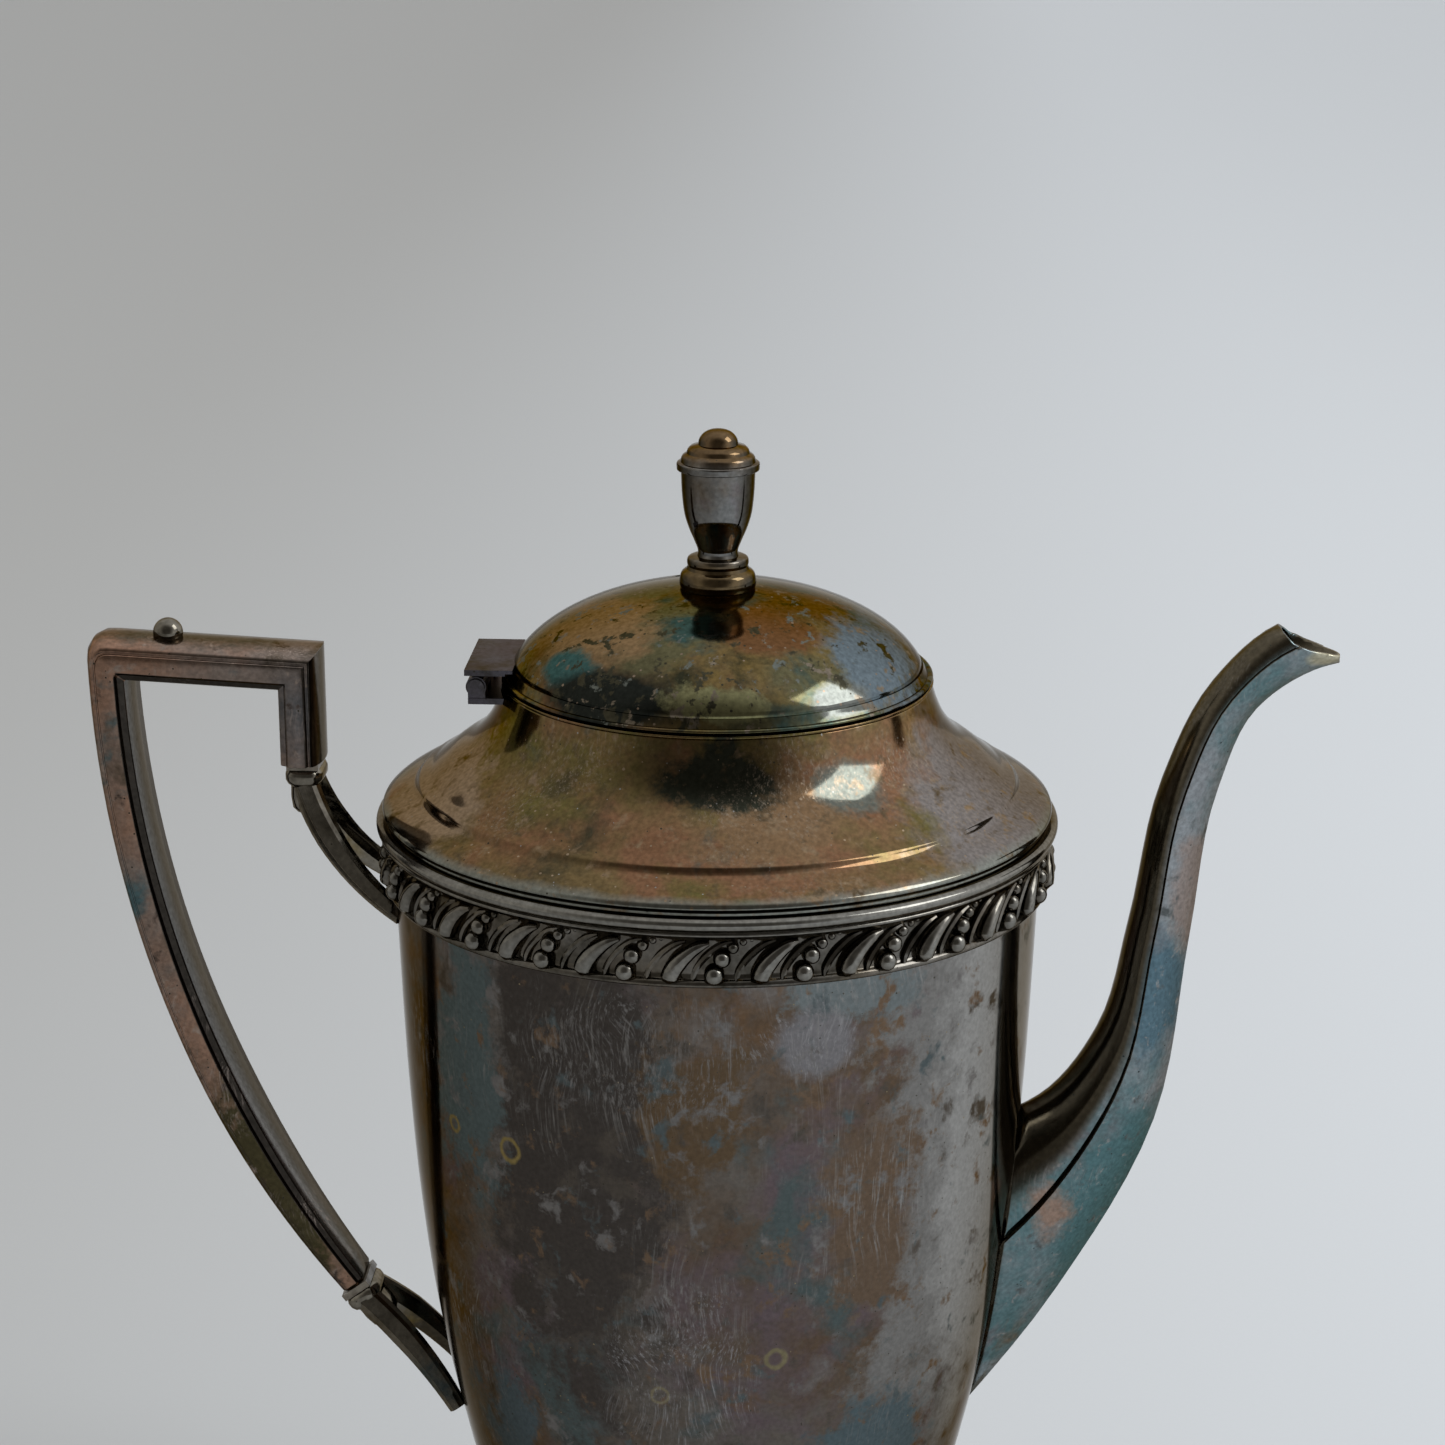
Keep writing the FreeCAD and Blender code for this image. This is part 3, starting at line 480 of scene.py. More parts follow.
body_plate = tarnish_and_painted_light(
    "body_plate", silver=(0.128, 0.112, 0.097),
    films=[((0.11, 0.075, 0.05), 28, 0.50, 0.07),
           ((0.125, 0.095, 0.10), 38, 0.55, 0.06),
           ((0.08, 0.10, 0.098), 44, 0.59, 0.05),
           ((0.14, 0.085, 0.048), 52, 0.62, 0.05),
           ((0.18, 0.168, 0.16), 36, 0.61, 0.06)],
    # the first two patches are painted light on the side toward the window, the third is painted shade on the
    # left front
    stains_and_painted_light=[((0.19, 0.182, 0.172), (46, -27, 140), (23, 34, 85), 2.6),
           ((0.31, 0.302, 0.287), (49, -22, 140), (15, 26, 72), 1.5),
           ((0.062, 0.053, 0.047), (-20, -49, 140), (18, 20, 60), 2.2),
           ((0.095, 0.12, 0.12), (-38, -36, 150), (8, 10, 26), 3.0),
           ((0.09, 0.12, 0.13), (30, -41, 82), (12, 16, 10), 3.0),
           ((0.09, 0.115, 0.125), (-36, -36, 84), (9, 10, 10), 3.0),
           ((0.115, 0.078, 0.047), (-1, -53, 148), (9, 9, 13), 3.2),
           ((0.15, 0.168, 0.168), (24, -47, 168), (12, 11, 6), 3.2),
           ((0.175, 0.165, 0.168), (18, -50, 160), (7, 8, 6.5), 1.2),
           ((0.13, 0.09, 0.062), (27, -44, 128), (9, 9, 18), 3.2)],
    flakes=[((0.085, 0.072, 0.06), 110, 0.62, 0.04),
            ((0.165, 0.155, 0.148), 150, 0.62, 0.04),
            ((0.09, 0.108, 0.11), 130, 0.63, 0.04),
            ((0.15, 0.10, 0.065), 170, 0.63, 0.04)],
    spots=[((0.05, 0.045, 0.035), 1700, 0.28, 0.04),
           ((0.25, 0.20, 0.12), 1500, 0.22, 0.03)],
    rubbed=((0.26, 0.248, 0.235), 38, 0.47),
    scuffs=[((0.36, 0.35, 0.355), (-4, -50, 100), (13, 9, 19)),
            ((0.30, 0.29, 0.29), (18, -50, 160), (8, 9, 7)),
            ((0.23, 0.22, 0.215), (-12, -52, 158), (20, 12, 12))],
    drops=[((0.24, 0.18, 0.07), (-31, -43, 137.2), 2.4),
           ((0.22, 0.17, 0.08), (-40.5, -33, 137.5), 1.9),
           ((0.20, 0.17, 0.10), (12.5, -49.5, 104), 2.2),
           ((0.20, 0.17, 0.11), (-6.5, -49.0, 97), 1.8)],
    gloss=(0.05, 0.14), wave=0.03, grit=0.12)
placed(body, body_plate, "pot", "body_silver", "body_shell")

# Border: a cast band of gadroons soldered round the top of the bowl, under a rolled wire.
# Each of the 25 repeats has a leaning string of graded beads, two thin ridges and a comma-shaped lobe.
repeats, first = 25, math.radians(-87.4)
ground_radius, band_foot = 55.2, 170.6
band_profile = fair(
    [(54.7, 171.2), (54.7, 171.2), (55.1, 170.6), (55.7, 170.6), (56.0, 171.0), (55.8, 171.5), (55.2, 172.0),
     (55.0, 174.0), (55.1, 176.5), (55.6, 178.4), (56.1, 179.1), (56.1, 179.1), (56.5, 179.2), (56.6, 179.45),
     (56.4, 179.75), (56.2, 179.9), (56.2, 179.9), (56.6, 180.1), (57.1, 180.6), (57.2, 181.1), (57.0, 181.6),
     (56.4, 182.0), (56.4, 182.0), (54.7, 182.0), (54.7, 182.0), (54.7, 171.2)], 4)
border = turned("border_band", band_profile, 200)


def on_band(along, up, out=0.0):
    """A point on the band: millimetres along it, above its foot and out from its ground."""
    turn = first + along / 56.0
    radius = ground_radius + out
    return Vector((radius * math.cos(turn), radius * math.sin(turn), band_foot + up))


def horn(name, stations, round_steps=3, between=6):
    """A round bar through (point, radius) stations, in millimetres, drawn as one smooth line."""
    bpy.ops.object.select_all(action="DESELECT")
    bpy.ops.curve.primitive_bezier_curve_add(location=(0, 0, 0))
    line = bpy.context.object.data
    knots = line.splines[0].bezier_points
    knots.add(len(stations) - len(knots))
    for knot, (point, radius) in zip(knots, stations):
        knot.co = Vector(point) * mm
        knot.radius = radius
        knot.handle_left_type = knot.handle_right_type = "AUTO"
    line.bevel_depth = mm
    line.bevel_resolution = round_steps
    line.resolution_u = between
    line.use_fill_caps = True
    bpy.ops.object.convert(target="MESH")
    piece = bpy.context.object
    piece.name = piece.data.name = name
    bpy.ops.object.mode_set(mode="EDIT")
    return settle(piece, 50)


def joined(piece, *others):
    """One object from several, kept under the first one's name."""
    bpy.ops.object.select_all(action="DESELECT")
    for other in (piece, *others):
        other.select_set(True)
    bpy.context.view_layer.objects.active = piece
    bpy.ops.object.join()
    return piece


sweep = [(0.0, 1.0), (0.15, 1.9), (0.55, 2.9), (1.5, 4.3), (2.9, 5.7), (4.6, 6.9), (6.2, 7.5)]
lobe_start, lobe_sizes = 7.0, (0.6, 1.5, 1.55, 1.45, 1.2, 0.9, 0.35)
ridge_starts, ridge_sizes = (-3.4, 3.4), (0.2, 0.45, 0.5, 0.5, 0.5, 0.45, 0.25)
beads = [(0.0, 2.05, 1.6), (1.2, 4.7, 1.4), (2.9, 6.5, 0.95), (4.5, 7.45, 0.62), (5.8, 7.8, 0.4)]
lobe = horn("lobe", [(on_band(lobe_start + along, up - 0.3, 0.35), size)
                     for (along, up), size in zip(sweep, lobe_sizes)])
parts = [lobe]
for start in ridge_starts:
    parts.append(horn("ridge", [(on_band(start + along, up, 0.25), size)
                                for (along, up), size in zip(sweep, ridge_sizes)], 1, 3))
for along, up, size in beads:
    bpy.ops.object.select_all(action="DESELECT")
    bpy.ops.mesh.primitive_uv_sphere_add(segments=20, ring_count=12, radius=size * mm,
                                         location=on_band(along, up, 0.2 * size) * mm)
    bead = bpy.context.object
    bpy.ops.object.transform_apply(location=True, rotation=True, scale=True)
    bpy.ops.object.shade_smooth()
    parts.append(bead)
joined(*parts)
bpy.ops.object.mode_set(mode="EDIT")
bpy.ops.mesh.select_all(action="SELECT")
bpy.ops.mesh.spin(steps=repeats - 1, dupli=True, angle=2 * math.pi * (repeats - 1) / repeats,
                  center=(0, 0, 0), axis=(0, 0, 1))
bpy.ops.object.mode_set(mode="OBJECT")
joined(border, lobe)
border_plate = tarnish_and_painted_light(
    "border_plate", silver=(0.14, 0.13, 0.115),
    films=[((0.11, 0.09, 0.065), 60, 0.58, 0.12),
           (dark, 140, 0.58, 0.12)],
    spots=[(dark, 1800, 0.3, 0.08)],
    worn=((0.23, 0.222, 0.20), 56.0, 57.4), gloss=(0.08, 0.17), wave=0.02, shift=5.0)
placed(border, border_plate, "pot", "border_silver", "gadroon_border")

# Shoulder: a spun cover soldered into the border, with a rounded lip, a low step and a bell.
# The bell rises to the neck, whose mouth is stiffened by a thin wire.
shoulder = turned("shoulder_cover", fair(
    [(54.6, 182.1), (54.6, 182.1), (55.5, 182.2), (55.5, 182.7), (55.8, 183.1), (56.1, 183.45), (56.0, 183.9),
     (55.3, 184.6), (53.3, 185.8), (51.4, 186.65), (50.7, 187.0), (50.25, 187.5), (49.85, 188.15),
     (49.2, 188.55), (48.0, 189.25), (46.8, 190.2), (44.5, 192.0), (41.0, 194.4), (38.2, 197.7),
     (36.4, 201.6), (35.5, 204.6)], 6), 192)
changed(shoulder, "SOLIDIFY", thickness=0.8 * mm, offset=-1)
shoulder_plate = tarnish_and_painted_light(
    "shoulder_plate", silver=(0.155, 0.108, 0.05),
    films=[((0.19, 0.10, 0.055), 34, 0.51, 0.06),
           ((0.12, 0.10, 0.035), 42, 0.56, 0.06),
           ((0.055, 0.048, 0.03), 50, 0.63, 0.06),
           ((0.065, 0.082, 0.07), 58, 0.64, 0.05)],
    # painted light on the side toward the window
    stains_and_painted_light=[((0.19, 0.17, 0.16), (46, -16, 188), (18, 30, 20), 1.4),
           ((0.185, 0.115, 0.062), (12, -42, 192), (14, 12, 8), 2.8),
           # a painted golden reflection on the left, a painted dark reflection in the middle of the bell, a
           # greyer patch painted under the window glint to tone it, and a painted highlight all round the lip
           ((0.25, 0.18, 0.12), (-46, -16, 189), (13, 24, 9), 2.0),
           ((0.036, 0.038, 0.027), (2, -37.5, 198), (9, 5, 7.5), 2.8),
           ((0.12, 0.125, 0.105), (23, -32, 196), (7, 7, 5), 1.8),
           ((0.195, 0.20, 0.176), (0, 0, 183), (90, 90, 2.4), 0.6)],
    flakes=[((0.22, 0.155, 0.095), 300, 0.63, 0.06),
            ((0.10, 0.072, 0.042), 240, 0.64, 0.06)],
    spots=[(grey, 1500, 0.25, 0.04),
           (dark, 1400, 0.26, 0.05),
           ((0.27, 0.20, 0.135), 1000, 0.26, 0.16)],
    rubbed=((0.26, 0.21, 0.16), 50, 0.53), gloss=(0.06, 0.15), wave=0.03, shift=9.0)
placed(shoulder, shoulder_plate, "pot", "shoulder_silver", "shoulder_shell")
neck_wire = turned("neck_wire", fair(
    [(34.8, 204.4), (34.8, 204.4), (35.6, 204.4), (35.85, 204.55), (35.85, 204.85), (35.6, 205.0),
     (34.8, 205.0), (34.8, 205.0), (34.8, 204.4)], 4), 160)
placed(neck_wire, shoulder_plate, "pot", "shoulder_silver", "neck_rim_wire")

# Spout: a tall swan neck cast in two halves, with a rounded back, a ledge along each side and a narrow keel.
# It is soldered over a pierced strainer in the body, and its mouth is cut back to a thin pouring lip.
crowns = fair([(46.0, 0, 125.0), (57.5, 0, 132.0), (65.1, 0, 143.4), (69.7, 0, 163.0), (74.2, 0, 188.0),
               (81.9, 0, 205.3), (92.1, 0, 215.2), (99.0, 0, 217.6)], 6)
keels = fair([(36.0, 0, 60.0), (60.0, 0, 94.5), (75.6, 0, 127.0), (80.2, 0, 161.5), (83.7, 0, 187.0),
              (89.3, 0, 200.8), (98.4, 0, 207.6), (104.5, 0, 209.5)], 6)
ridge, ledge, keel_power = 0.36, 0.09, 1.7
root_half, tip_half, wall = 11.0, 4.2, 0.9
back = [math.radians(turn) for turn in range(0, 91, 10)]
side = [(ridge * (1 - math.cos(turn)), math.sin(turn)) for turn in back]
side += [(ridge + 0.02, 0.98), (ridge + 0.02, 1 + ledge - 0.02)]
side += [(ridge + 0.03 + (0.97 - ridge) * share, (1 + ledge) * (1 - share ** keel_power))
         for share in (0, 0.08, 0.2, 0.32, 0.45, 0.58, 0.7, 0.82, 0.92)]
ring = side + [(1, 0)] + [(down, -out) for down, out in side[:0:-1]]
last = len(crowns) - 1
halves = [tip_half + (root_half - tip_half) * (1 - i / last) ** 2 for i in range(last + 1)]
spout = settle(lofted("spout_neck", ring, crowns, keels, halves, True), 30)
ways = [(keel - crown).normalized() * wall for crown, keel in zip(crowns, keels)]
bore_crowns = [crown + way for crown, way in zip(crowns, ways)]
bore_keels = [keel - way * 1.6 for keel, way in zip(keels, ways)]
bore_halves = [half - wall for half in halves]
inside = settle(lofted("spout_bore", ring, bore_crowns, bore_keels, bore_halves, True), 30)


def prism(name, corners, sweep):
    """A straight block: an outline carried along a line, in millimetres."""
    block = drawn(name, corners + corners[:1])
    bpy.ops.mesh.select_all(action="SELECT")
    bpy.ops.mesh.remove_doubles(threshold=weld * mm)
    bpy.ops.mesh.edge_face_add()
    bpy.ops.mesh.extrude_region_move(TRANSFORM_OT_translate={"value": Vector(sweep) * mm})
    return settle(block)


def bowl_solid():
    """The body's outside as a solid, to trim what is soldered onto it."""
    profile = [(0, 27.5), (0, 27.5), *bowl, (54.6, 182.0), (0, 182.0), (0, 182.0)]
    return turned("bowl_solid", fair(profile, 8), 192)


cut(spout, inside)
mouth = [(88.5, 218.4), (92.1, 215.0), (94.4, 213.0), (97.0, 211.9), (101.0, 210.7), (107.0, 209.3),
         (112.0, 222.0), (90.0, 224.0)]
cut(spout, prism("mouth_cut", [(along, -12, up) for along, up in mouth], (0, 24, 0)))
tip_start, tip_round = 100, 2.4
tip_turns = [math.radians(turn) for turn in range(0, 181, 12)]
tip = [(112, 6), (112, -6), (tip_start, -6)]
tip += [(tip_start + tip_round * math.sin(turn), -tip_round * math.cos(turn)) for turn in tip_turns]
tip += [(tip_start, 6)]
cut(spout, prism("tip_cut", [(along, out, 200) for along, out in tip], (0, 0, 25)))
cut(spout, bowl_solid())
bpy.ops.object.shade_smooth_by_angle(angle=math.radians(30))
spout_plate = tarnish_and_painted_light(
    "spout_plate", silver=(0.25, 0.265, 0.275),
    films=[((0.11, 0.185, 0.195), 40, 0.52, 0.08),
           ((0.20, 0.165, 0.17), 50, 0.58, 0.07),
           ((0.19, 0.145, 0.11), 60, 0.64, 0.06)],
    stains_and_painted_light=[((0.09, 0.17, 0.18), (68, 0, 112), (14, 16, 24), 1.0),
           ((0.10, 0.165, 0.20), (74, 0, 152), (6, 16, 14), 1.4),
           ((0.29, 0.20, 0.155), (58.0, 0, 113.5), (5.5, 14, 8), 1.6),
           ((0.28, 0.235, 0.215), (79, 0, 170), (4, 14, 12), 1.6),
           # painted light inside the mouth, which also pales the outside of the tip
           ((0.42, 0.39, 0.29), (99.5, 0, 211), (5, 5, 2.5), 0.6)],
    flakes=[((0.11, 0.12, 0.12), 260, 0.64, 0.05),
            ((0.28, 0.275, 0.265), 420, 0.65, 0.05)],
    spots=[((0.05, 0.06, 0.06), 1500, 0.3, 0.04)],
    rubbed=((0.34, 0.33, 0.32), 60, 0.55),
    # painted shade on the faces turned up and back, away from the window
    painted_light_by_facing=[((0.10, 0.085, 0.06), (-0.86, 0, 0.5), 0.0, 0.3)],
    gloss=(0.12, 0.22), shift=13.0)
placed(spout, spout_plate, "pot", "spout_silver", "spout")

# Handle: a cast squared loop, flat inside the grip, with a rounded back and a sunk line beside the back.
# Its lower end tapers to the fork, and a bead to rest the thumb on is riveted to the top bar.
arc_centre, arc_radius = Vector((91.5, 0, 208.1)), 193.5
grip_half, grip_deep = 6.8, 6.8
arc_low, arc_span, arc_steps, taper_span = 216.6, 36.5, 28, 15
turns = [arc_low, arc_low - 0.2] + [arc_low - arc_span * i / arc_steps for i in range(1, arc_steps)]
tapers = [math.sin(math.pi / 2 * min(1, (arc_low - turn) / taper_span)) for turn in turns[1:]]
fullness = [0.62] + [0.72 + 0.28 * taper for taper in tapers]
rays = [Vector((math.cos(math.radians(turn)), 0, math.sin(math.radians(turn)))) for turn in turns]
inner = [arc_centre + ray * (arc_radius - grip_deep / 2 * full) for ray, full in zip(rays, fullness)]
outer = [arc_centre + ray * (arc_radius + grip_deep / 2 * full) for ray, full in zip(rays, fullness)]
corner = [(-98.6, 203.6), (-98.57, 203.72), (-98.5, 203.81), (-98.38, 203.83), (-98.2, 203.82)]
inner += [Vector((along, 0, up)) for along, up in corner + [(-72.9, 202.56), (-72.9, 189.5)]]
corner = [(-105.4, 207.2), (-105.2, 208.8), (-104.4, 210.1), (-103.1, 210.75), (-101.4, 210.78)]
outer += [Vector((along, 0, up)) for along, up in corner + [(-66.1, 209.04), (-66.1, 189.5)]]
fullness += [1] * (len(inner) - len(fullness))
half = [(0, 5.2), (0.2, 5.6), (1.1, 6.1), (1.3, 6.5), (1.5, 6.75), (1.8, 6.8), (4.3, 6.8), (4.5, 6.72),
        (4.62, 6.5), (4.65, 6.25), (4.85, 6.15), (5.05, 6.25)]
for turn in range(12, 90, 13):
    half.append((5.05 + 1.75 * math.sin(math.radians(turn)), 6.25 * math.cos(math.radians(turn))))
ring = [(deep / grip_deep, out / grip_half) for deep, out in half] + [(1, 0)]
ring += [(down, -out) for down, out in ring[-2::-1]]
grip_halves = [grip_half * full for full in fullness]
grip = settle(lofted("handle_loop", ring, inner, outer, grip_halves, True), 30)
changed(grip, "BEVEL", width=0.25 * mm, segments=2, limit_method="ANGLE", angle_limit=math.radians(40))
bpy.ops.object.shade_smooth_by_angle(angle=math.radians(30))
# painted shade for the chamfers along the inner edges and under the top bar
painted_cove_shade = (0.035, 0.03, 0.025)
handle_plate = tarnish_and_painted_light(
    "handle_plate", silver=(0.21, 0.165, 0.14),
    films=[((0.28, 0.17, 0.12), 40, 0.50, 0.07),
           ((0.07, 0.055, 0.035), 50, 0.59, 0.06),
           ((0.075, 0.12, 0.125), 60, 0.64, 0.04)],
    stains_and_painted_light=[((0.062, 0.052, 0.026), (-77, 0, 112), (18, 12, 34), 1.8),
           ((0.08, 0.13, 0.14), (-98, 0, 166), (4, 9, 6), 1.8),
           ((0.11, 0.105, 0.105), (-69.5, 0, 198), (8, 10, 12), 0.8),
           ((0.11, 0.10, 0.085), (-82, 0, 212), (26, 10, 3.2), 1.4)],
    flakes=[((0.29, 0.225, 0.185), 260, 0.62, 0.04),
            ((0.07, 0.052, 0.043), 220, 0.63, 0.04)],
    spots=[(dark, 1500, 0.3, 0.05)],
    rubbed=((0.36, 0.295, 0.255), 70, 0.54),
    # painted light on the inner faces turned toward the pot and the window, and painted shade in the chamfers
    # beside them and under the top bar
    painted_light_by_facing=[((0.155, 0.153, 0.148), (0.96, 0, 0.25), 0.85, 0.95),
            (painted_cove_shade, (0.63, -0.75, 0.2), 0.82, 0.90),
            (painted_cove_shade, (0.63, 0.75, 0.2), 0.82, 0.90),
            (painted_cove_shade, (0, -0.75, -0.66), 0.82, 0.90),
            (painted_cove_shade, (0, 0.75, -0.66), 0.82, 0.90)],
    gloss=(0.10, 0.21), wave=0.03, shift=25.0)
placed(grip, handle_plate, "pot", "handle_silver", "handle_grip")

# Forks: the two cast mounts that carry the handle, each a rounded knuckle that parts into two ridged prongs.
# The prongs spread and land on the body, where they are soldered.
def fork(name, start, along, out, end, sag, spread):
    """A knuckle and two prongs, from the handle's end to the body."""
    start, along, out, end = Vector(start), Vector(along), Vector(out), Vector(end)
    steps = [(0, 2.5, 4.1), (0.25, 2.95, 4.6), (0.9, 3.25, 4.9), (1.8, 3.25, 4.9), (2.5, 2.95, 4.6),
             (2.9, 2.5, 4.1), (3.2, 2.45, 4.0), (5.0, 2.5, 3.9), (7.0, 2.3, 3.4), (8.0, 1.6, 2.4)]
    round_ring = [(0.5 - 0.5 * math.copysign(abs(math.cos(turn)) ** 0.55, math.cos(turn)),
                   math.copysign(abs(math.sin(turn)) ** 0.55, math.sin(turn)))
                  for turn in (math.radians(10 * i) for i in range(36))]
    tops = [start + along * far + out * deep for far, deep, wide in steps]
    bottoms = [start + along * far - out * deep for far, deep, wide in steps]
    knuckle = settle(lofted(name, round_ring, tops, bottoms, [wide for far, deep, wide in steps], True), 40)
    chord = end - start
    bulge = (start + end) / 2 + Vector((chord.z, 0, -chord.x)).normalized() * 2 * sag
    kite = [(0, 0.25), (0.08, 0.55), (0.3, 0.88), (0.46, 1.0), (0.5, 1.06), (0.54, 1.0), (0.72, 0.84),
            (0.93, 0.5), (1, 0.2)]
    kite += [(down, -wide) for down, wide in kite[::-1]]
    prongs = []
    for hand in (1, -1):
        tops, bottoms, halves = [], [], []
        for i in range(15):
            t = 0.10 + i * 0.07
            point = start * (1 - t) ** 2 + bulge * 2 * t * (1 - t) + end * t ** 2
            ahead = ((bulge - start) * (1 - t) + (end - bulge) * t).normalized()
            across = Vector((-ahead.z, 0, ahead.x))
            deep = 2.5 - 0.9 * max(0, t - 0.45) / 0.65
            tops.append(point + across * deep)
            bottoms.append(point - across * deep)
            halves.append(2.25 - 0.5 * t)
        prong = settle(lofted("prong", kite, tops, bottoms, halves, True), 25)
        bpy.ops.transform.translate(value=(0, hand * 2.2 * mm, 0))
        bpy.ops.transform.rotate(value=-hand * math.radians(spread), orient_axis="Z",
                                 center_override=start * mm)
        bpy.ops.object.transform_apply(location=True, rotation=True, scale=True)
        cut(prong, bowl_solid())
        prongs.append(prong)
    return joined(knuckle, *prongs)


fork_plate = tarnish_and_painted_light(
    "fork_plate", silver=(0.23, 0.21, 0.175),
    films=[((0.06, 0.05, 0.035), 50, 0.55, 0.12),
           ((0.20, 0.145, 0.05), 60, 0.60, 0.08),
           ((0.07, 0.10, 0.11), 70, 0.66, 0.06)],
    spots=[(dark, 1500, 0.3, 0.05)],
    wave=0.03, shift=29.0)
upper_fork = fork("upper_fork_cast", (-69.5, 0, 188.3), (0, 0, -1), (1, 0, 0), (-52.5, 0, 165.8),
                  sag=2.8, spread=22)
placed(upper_fork, fork_plate, "pot", "fork_silver", "upper_fork")
lower_fork = fork("lower_fork_cast", (-63.08, 0, 91.74), (0.596, 0, -0.803), (0.803, 0, 0.596),
                  (-44.5, 0, 74.0), sag=-1.2, spread=19)
placed(lower_fork, fork_plate, "pot", "fork_silver", "lower_fork")
nodes["thumb_bead"].material_slots[0].material = fork_plate

# Insulators and studs: thin washers between the handle and its forks keep the heat off the hand.
# They are pale moulded resin, each held by a brass dowel that is hidden inside.
resin = bpy.data.materials.new("resin_washer")
resin.use_nodes = True
tree = resin.node_tree
shader = tree.nodes["Principled BSDF"]
place = node(tree, "TexCoord").outputs["Object"]
stain = masked(tree, cloud, Vector=place, Scale=300.0, Level=0.55, Softness=0.15, Warp=0.01)
stained = blended(tree, stain, (0.34, 0.30, 0.24, 1), (0.14, 0.11, 0.08, 1))
tree.links.new(stained, shader.inputs["Base Color"])
rough = node(tree, "MapRange", Value=stain, To_Min=0.3, To_Max=0.55)
tree.links.new(rough.outputs["Result"], shader.inputs["Roughness"])
brass = tarnish_and_painted_light(
    "brass_fixing", silver=(0.58, 0.42, 0.20),
    films=[(brown, 120, 0.55, 0.1)],
    spots=[(dark, 900, 0.3, 0.15)],
    gloss=(0.22, 0.4), shift=33.0)
for name in ("upper_insulator", "lower_insulator"):
    nodes[name].material_slots[0].material = resin
for name in ("upper_stud", "lower_stud", "finial_stud", "finial_washer", "finial_nut"):
    nodes[name].material_slots[0].material = brass

# Hinge: five knuckles on one pin behind the neck, with a bracket on the pot and a broad leaf on the lid.
# The plating is thin here and the metal is dull grey from handling.
hinge_plate = tarnish_and_painted_light(
    "hinge_plate", silver=(0.105, 0.104, 0.12),
    films=[((0.09, 0.083, 0.10), 90, 0.5, 0.12),
           (dark, 100, 0.6, 0.10)],
    spots=[(dark, 1800, 0.3, 0.08)],
    rubbed=((0.15, 0.145, 0.155), 120, 0.52), gloss=(0.24, 0.38), shift=37.0)
for name in ("hinge_bracket", "lid_hinge_leaf", "hinge_pin"):
    nodes[name].material_slots[0].material = hinge_plate

# Lid: a low dome raised from sheet and soldered into a flat rim with a rounded edge.
# A steam vent is drilled behind the finial; the dome is stained in gold, brown and blue clouds.
dome_radius, dome_base, dome_rise, vent_radius = 35.2, 202.84, 17.6, 1.2
lifts = [math.radians(turn) for turn in range(14, 90, 4)]
dome_profile = [(dome_radius * math.cos(lift), dome_base + dome_rise * math.sin(lift)) for lift in lifts]
dome = turned("lid_dome_cap", [Vector(point) for point in dome_profile + [(0.6, 220.44)]], 192)
changed(dome, "SOLIDIFY", thickness=0.9 * mm, offset=-1)
bpy.ops.object.select_all(action="DESELECT")
bpy.ops.mesh.primitive_cylinder_add(vertices=32, radius=vent_radius * mm, depth=20 * mm,
                                    location=(-6.62 * mm, 10.6 * mm, 215 * mm))
cut(dome, bpy.context.object)
bpy.ops.object.shade_smooth_by_angle(angle=math.radians(30))
lid_plate = tarnish_and_painted_light(
    "lid_plate", silver=(0.098, 0.09, 0.047),
    films=[((0.115, 0.068, 0.036), 38, 0.51, 0.06),
           ((0.17, 0.115, 0.04), 44, 0.57, 0.06),
           ((0.04, 0.075, 0.068), 52, 0.58, 0.05),
           ((0.03, 0.03, 0.018), 48, 0.61, 0.05)],
    stains_and_painted_light=[((0.21, 0.135, 0.07), (-19, -12, 215), (12, 14, 9), 1.6),
           ((0.12, 0.15, 0.168), (26, -13, 212), (10, 15, 9), 2.2),
           ((0.045, 0.10, 0.095), (-23, -20, 211.5), (7, 7, 3), 1.6),
           ((0.13, 0.065, 0.03), (9, -16, 216), (9, 8, 5), 1.6),
           # a painted dark reflection low on the left, then a greyer patch painted under the window glint to
           # tone it
           ((0.018, 0.02, 0.017), (-17, -29, 208.5), (15, 10, 4.8), 0.9),
           ((0.14, 0.145, 0.13), (20.8, -26, 208.5), (6, 6, 3), 1.6),
           ((0.20, 0.19, 0.095), (2, -31, 209.2), (9, 6, 2.6), 3.0)],
    flakes=[((0.17, 0.14, 0.105), 200, 0.62, 0.015),
            ((0.12, 0.13, 0.115), 220, 0.62, 0.015),
            ((0.05, 0.046, 0.03), 260, 0.60, 0.02)],
    spots=[((0.045, 0.04, 0.028), 1300, 0.32, 0.10),
           ((0.22, 0.165, 0.12), 1100, 0.27, 0.14)],
    gloss=(0.05, 0.13), wave=0.02, shift=17.0)
placed(dome, lid_plate, "lid", "lid_silver", "lid_dome")
lid_rim = turned("lid_rim_ring", fair(
    [(33.2, 205.3), (33.2, 205.3), (35.5, 205.3), (35.8, 205.5), (35.7, 205.8), (35.3, 205.95), (34.9, 205.9),
     (34.9, 205.9), (34.6, 206.4), (34.15, 207.3), (34.15, 207.3), (33.2, 207.0), (33.2, 207.0),
     (33.2, 205.3)], 4), 192)
placed(lid_rim, lid_plate, "lid", "lid_silver", "lid_rim")
nodes["lid_bezel"].material_slots[0].material = lid_plate

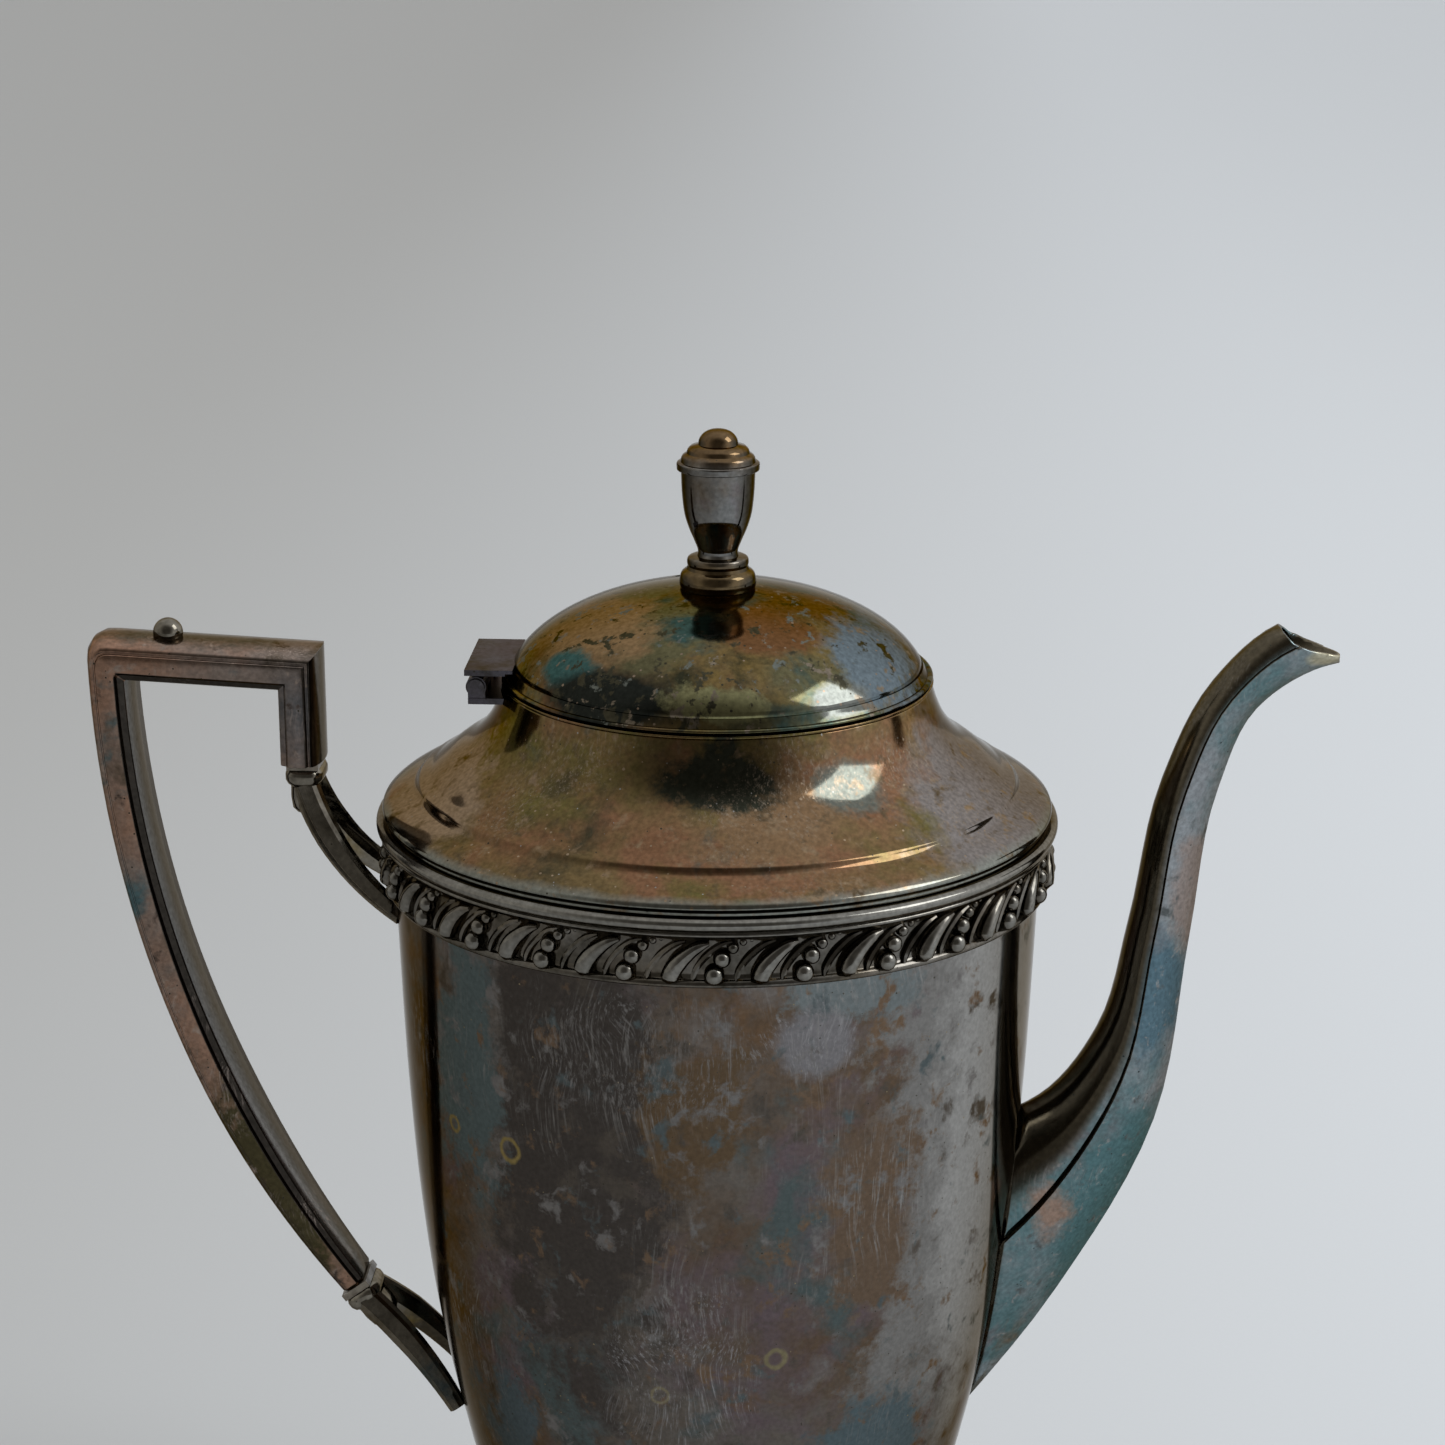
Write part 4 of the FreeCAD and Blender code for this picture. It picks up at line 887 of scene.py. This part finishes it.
# Finial: an urn-shaped knob turned from solid, with a stepped cap and a bead on top.
# It stands on a moulded collar and is held by a stud and nut through the dome.
collar = turned("finial_collar_ring", fair(
    [(2.4, 219.5), (2.4, 219.5), (5.9, 219.7), (6.3, 220.6), (6.3, 221.8), (5.9, 222.8), (5.2, 223.3),
     (5.2, 223.3), (5.0, 223.8), (5.0, 223.8), (5.1, 224.5), (4.9, 225.2), (4.2, 225.44), (4.2, 225.44),
     (2.4, 225.44), (2.4, 225.44), (2.4, 219.5)], 4), 96)
# painted shade for the urn's left and right sides, standing in for dark reflections
painted_side_shade = (0.05, 0.045, 0.036)
finial_plate = tarnish_and_painted_light(
    "finial_plate", silver=(0.17, 0.17, 0.165),
    films=[((0.12, 0.09, 0.06), 90, 0.58, 0.10),
           (purple, 80, 0.62, 0.09)],
    stains_and_painted_light=[((0.13, 0.085, 0.045), (0, 0, 245), (12, 12, 4.5), 0.5),
           ((0.12, 0.085, 0.045), (0, 0, 221.5), (12, 12, 4.5), 0.5)],
    spots=[(dark, 1800, 0.3, 0.05)],
    # painted shade and reflection: the sides turned left and right are darkened
    painted_light_by_facing=[(painted_side_shade, (0.95, -0.3, 0), 0.75, 0.95),
            (painted_side_shade, (-0.95, -0.3, 0), 0.75, 0.95)],
    gloss=(0.04, 0.09), wave=0.02, shift=21.0)
placed(collar, finial_plate, "lid", "finial_silver", "finial_collar")
urn = turned("finial_urn", fair(
    [(0, 225.44), (0, 225.44), (3.4, 225.44), (3.4, 225.44), (3.3, 226.2), (3.9, 228.0), (4.75, 230.0),
     (5.45, 232.2), (5.9, 235.5), (6.1, 239.7), (6.1, 239.7), (6.75, 239.9), (6.8, 240.4), (6.75, 241.0),
     (6.2, 241.2), (6.2, 241.2), (5.9, 242.1), (5.2, 242.6), (5.2, 242.6), (5.0, 243.2), (4.5, 243.7),
     (4.5, 243.7), (3.3, 244.0), (3.3, 244.0), (3.1, 244.9), (2.3, 245.9), (1.2, 246.4), (0, 246.54)], 4), 96)
placed(urn, finial_plate, "lid", "finial_silver", "finial")

size = {"cad": [list(corner) for corner in cad_box], "visual": [list(corner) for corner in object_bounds()]}
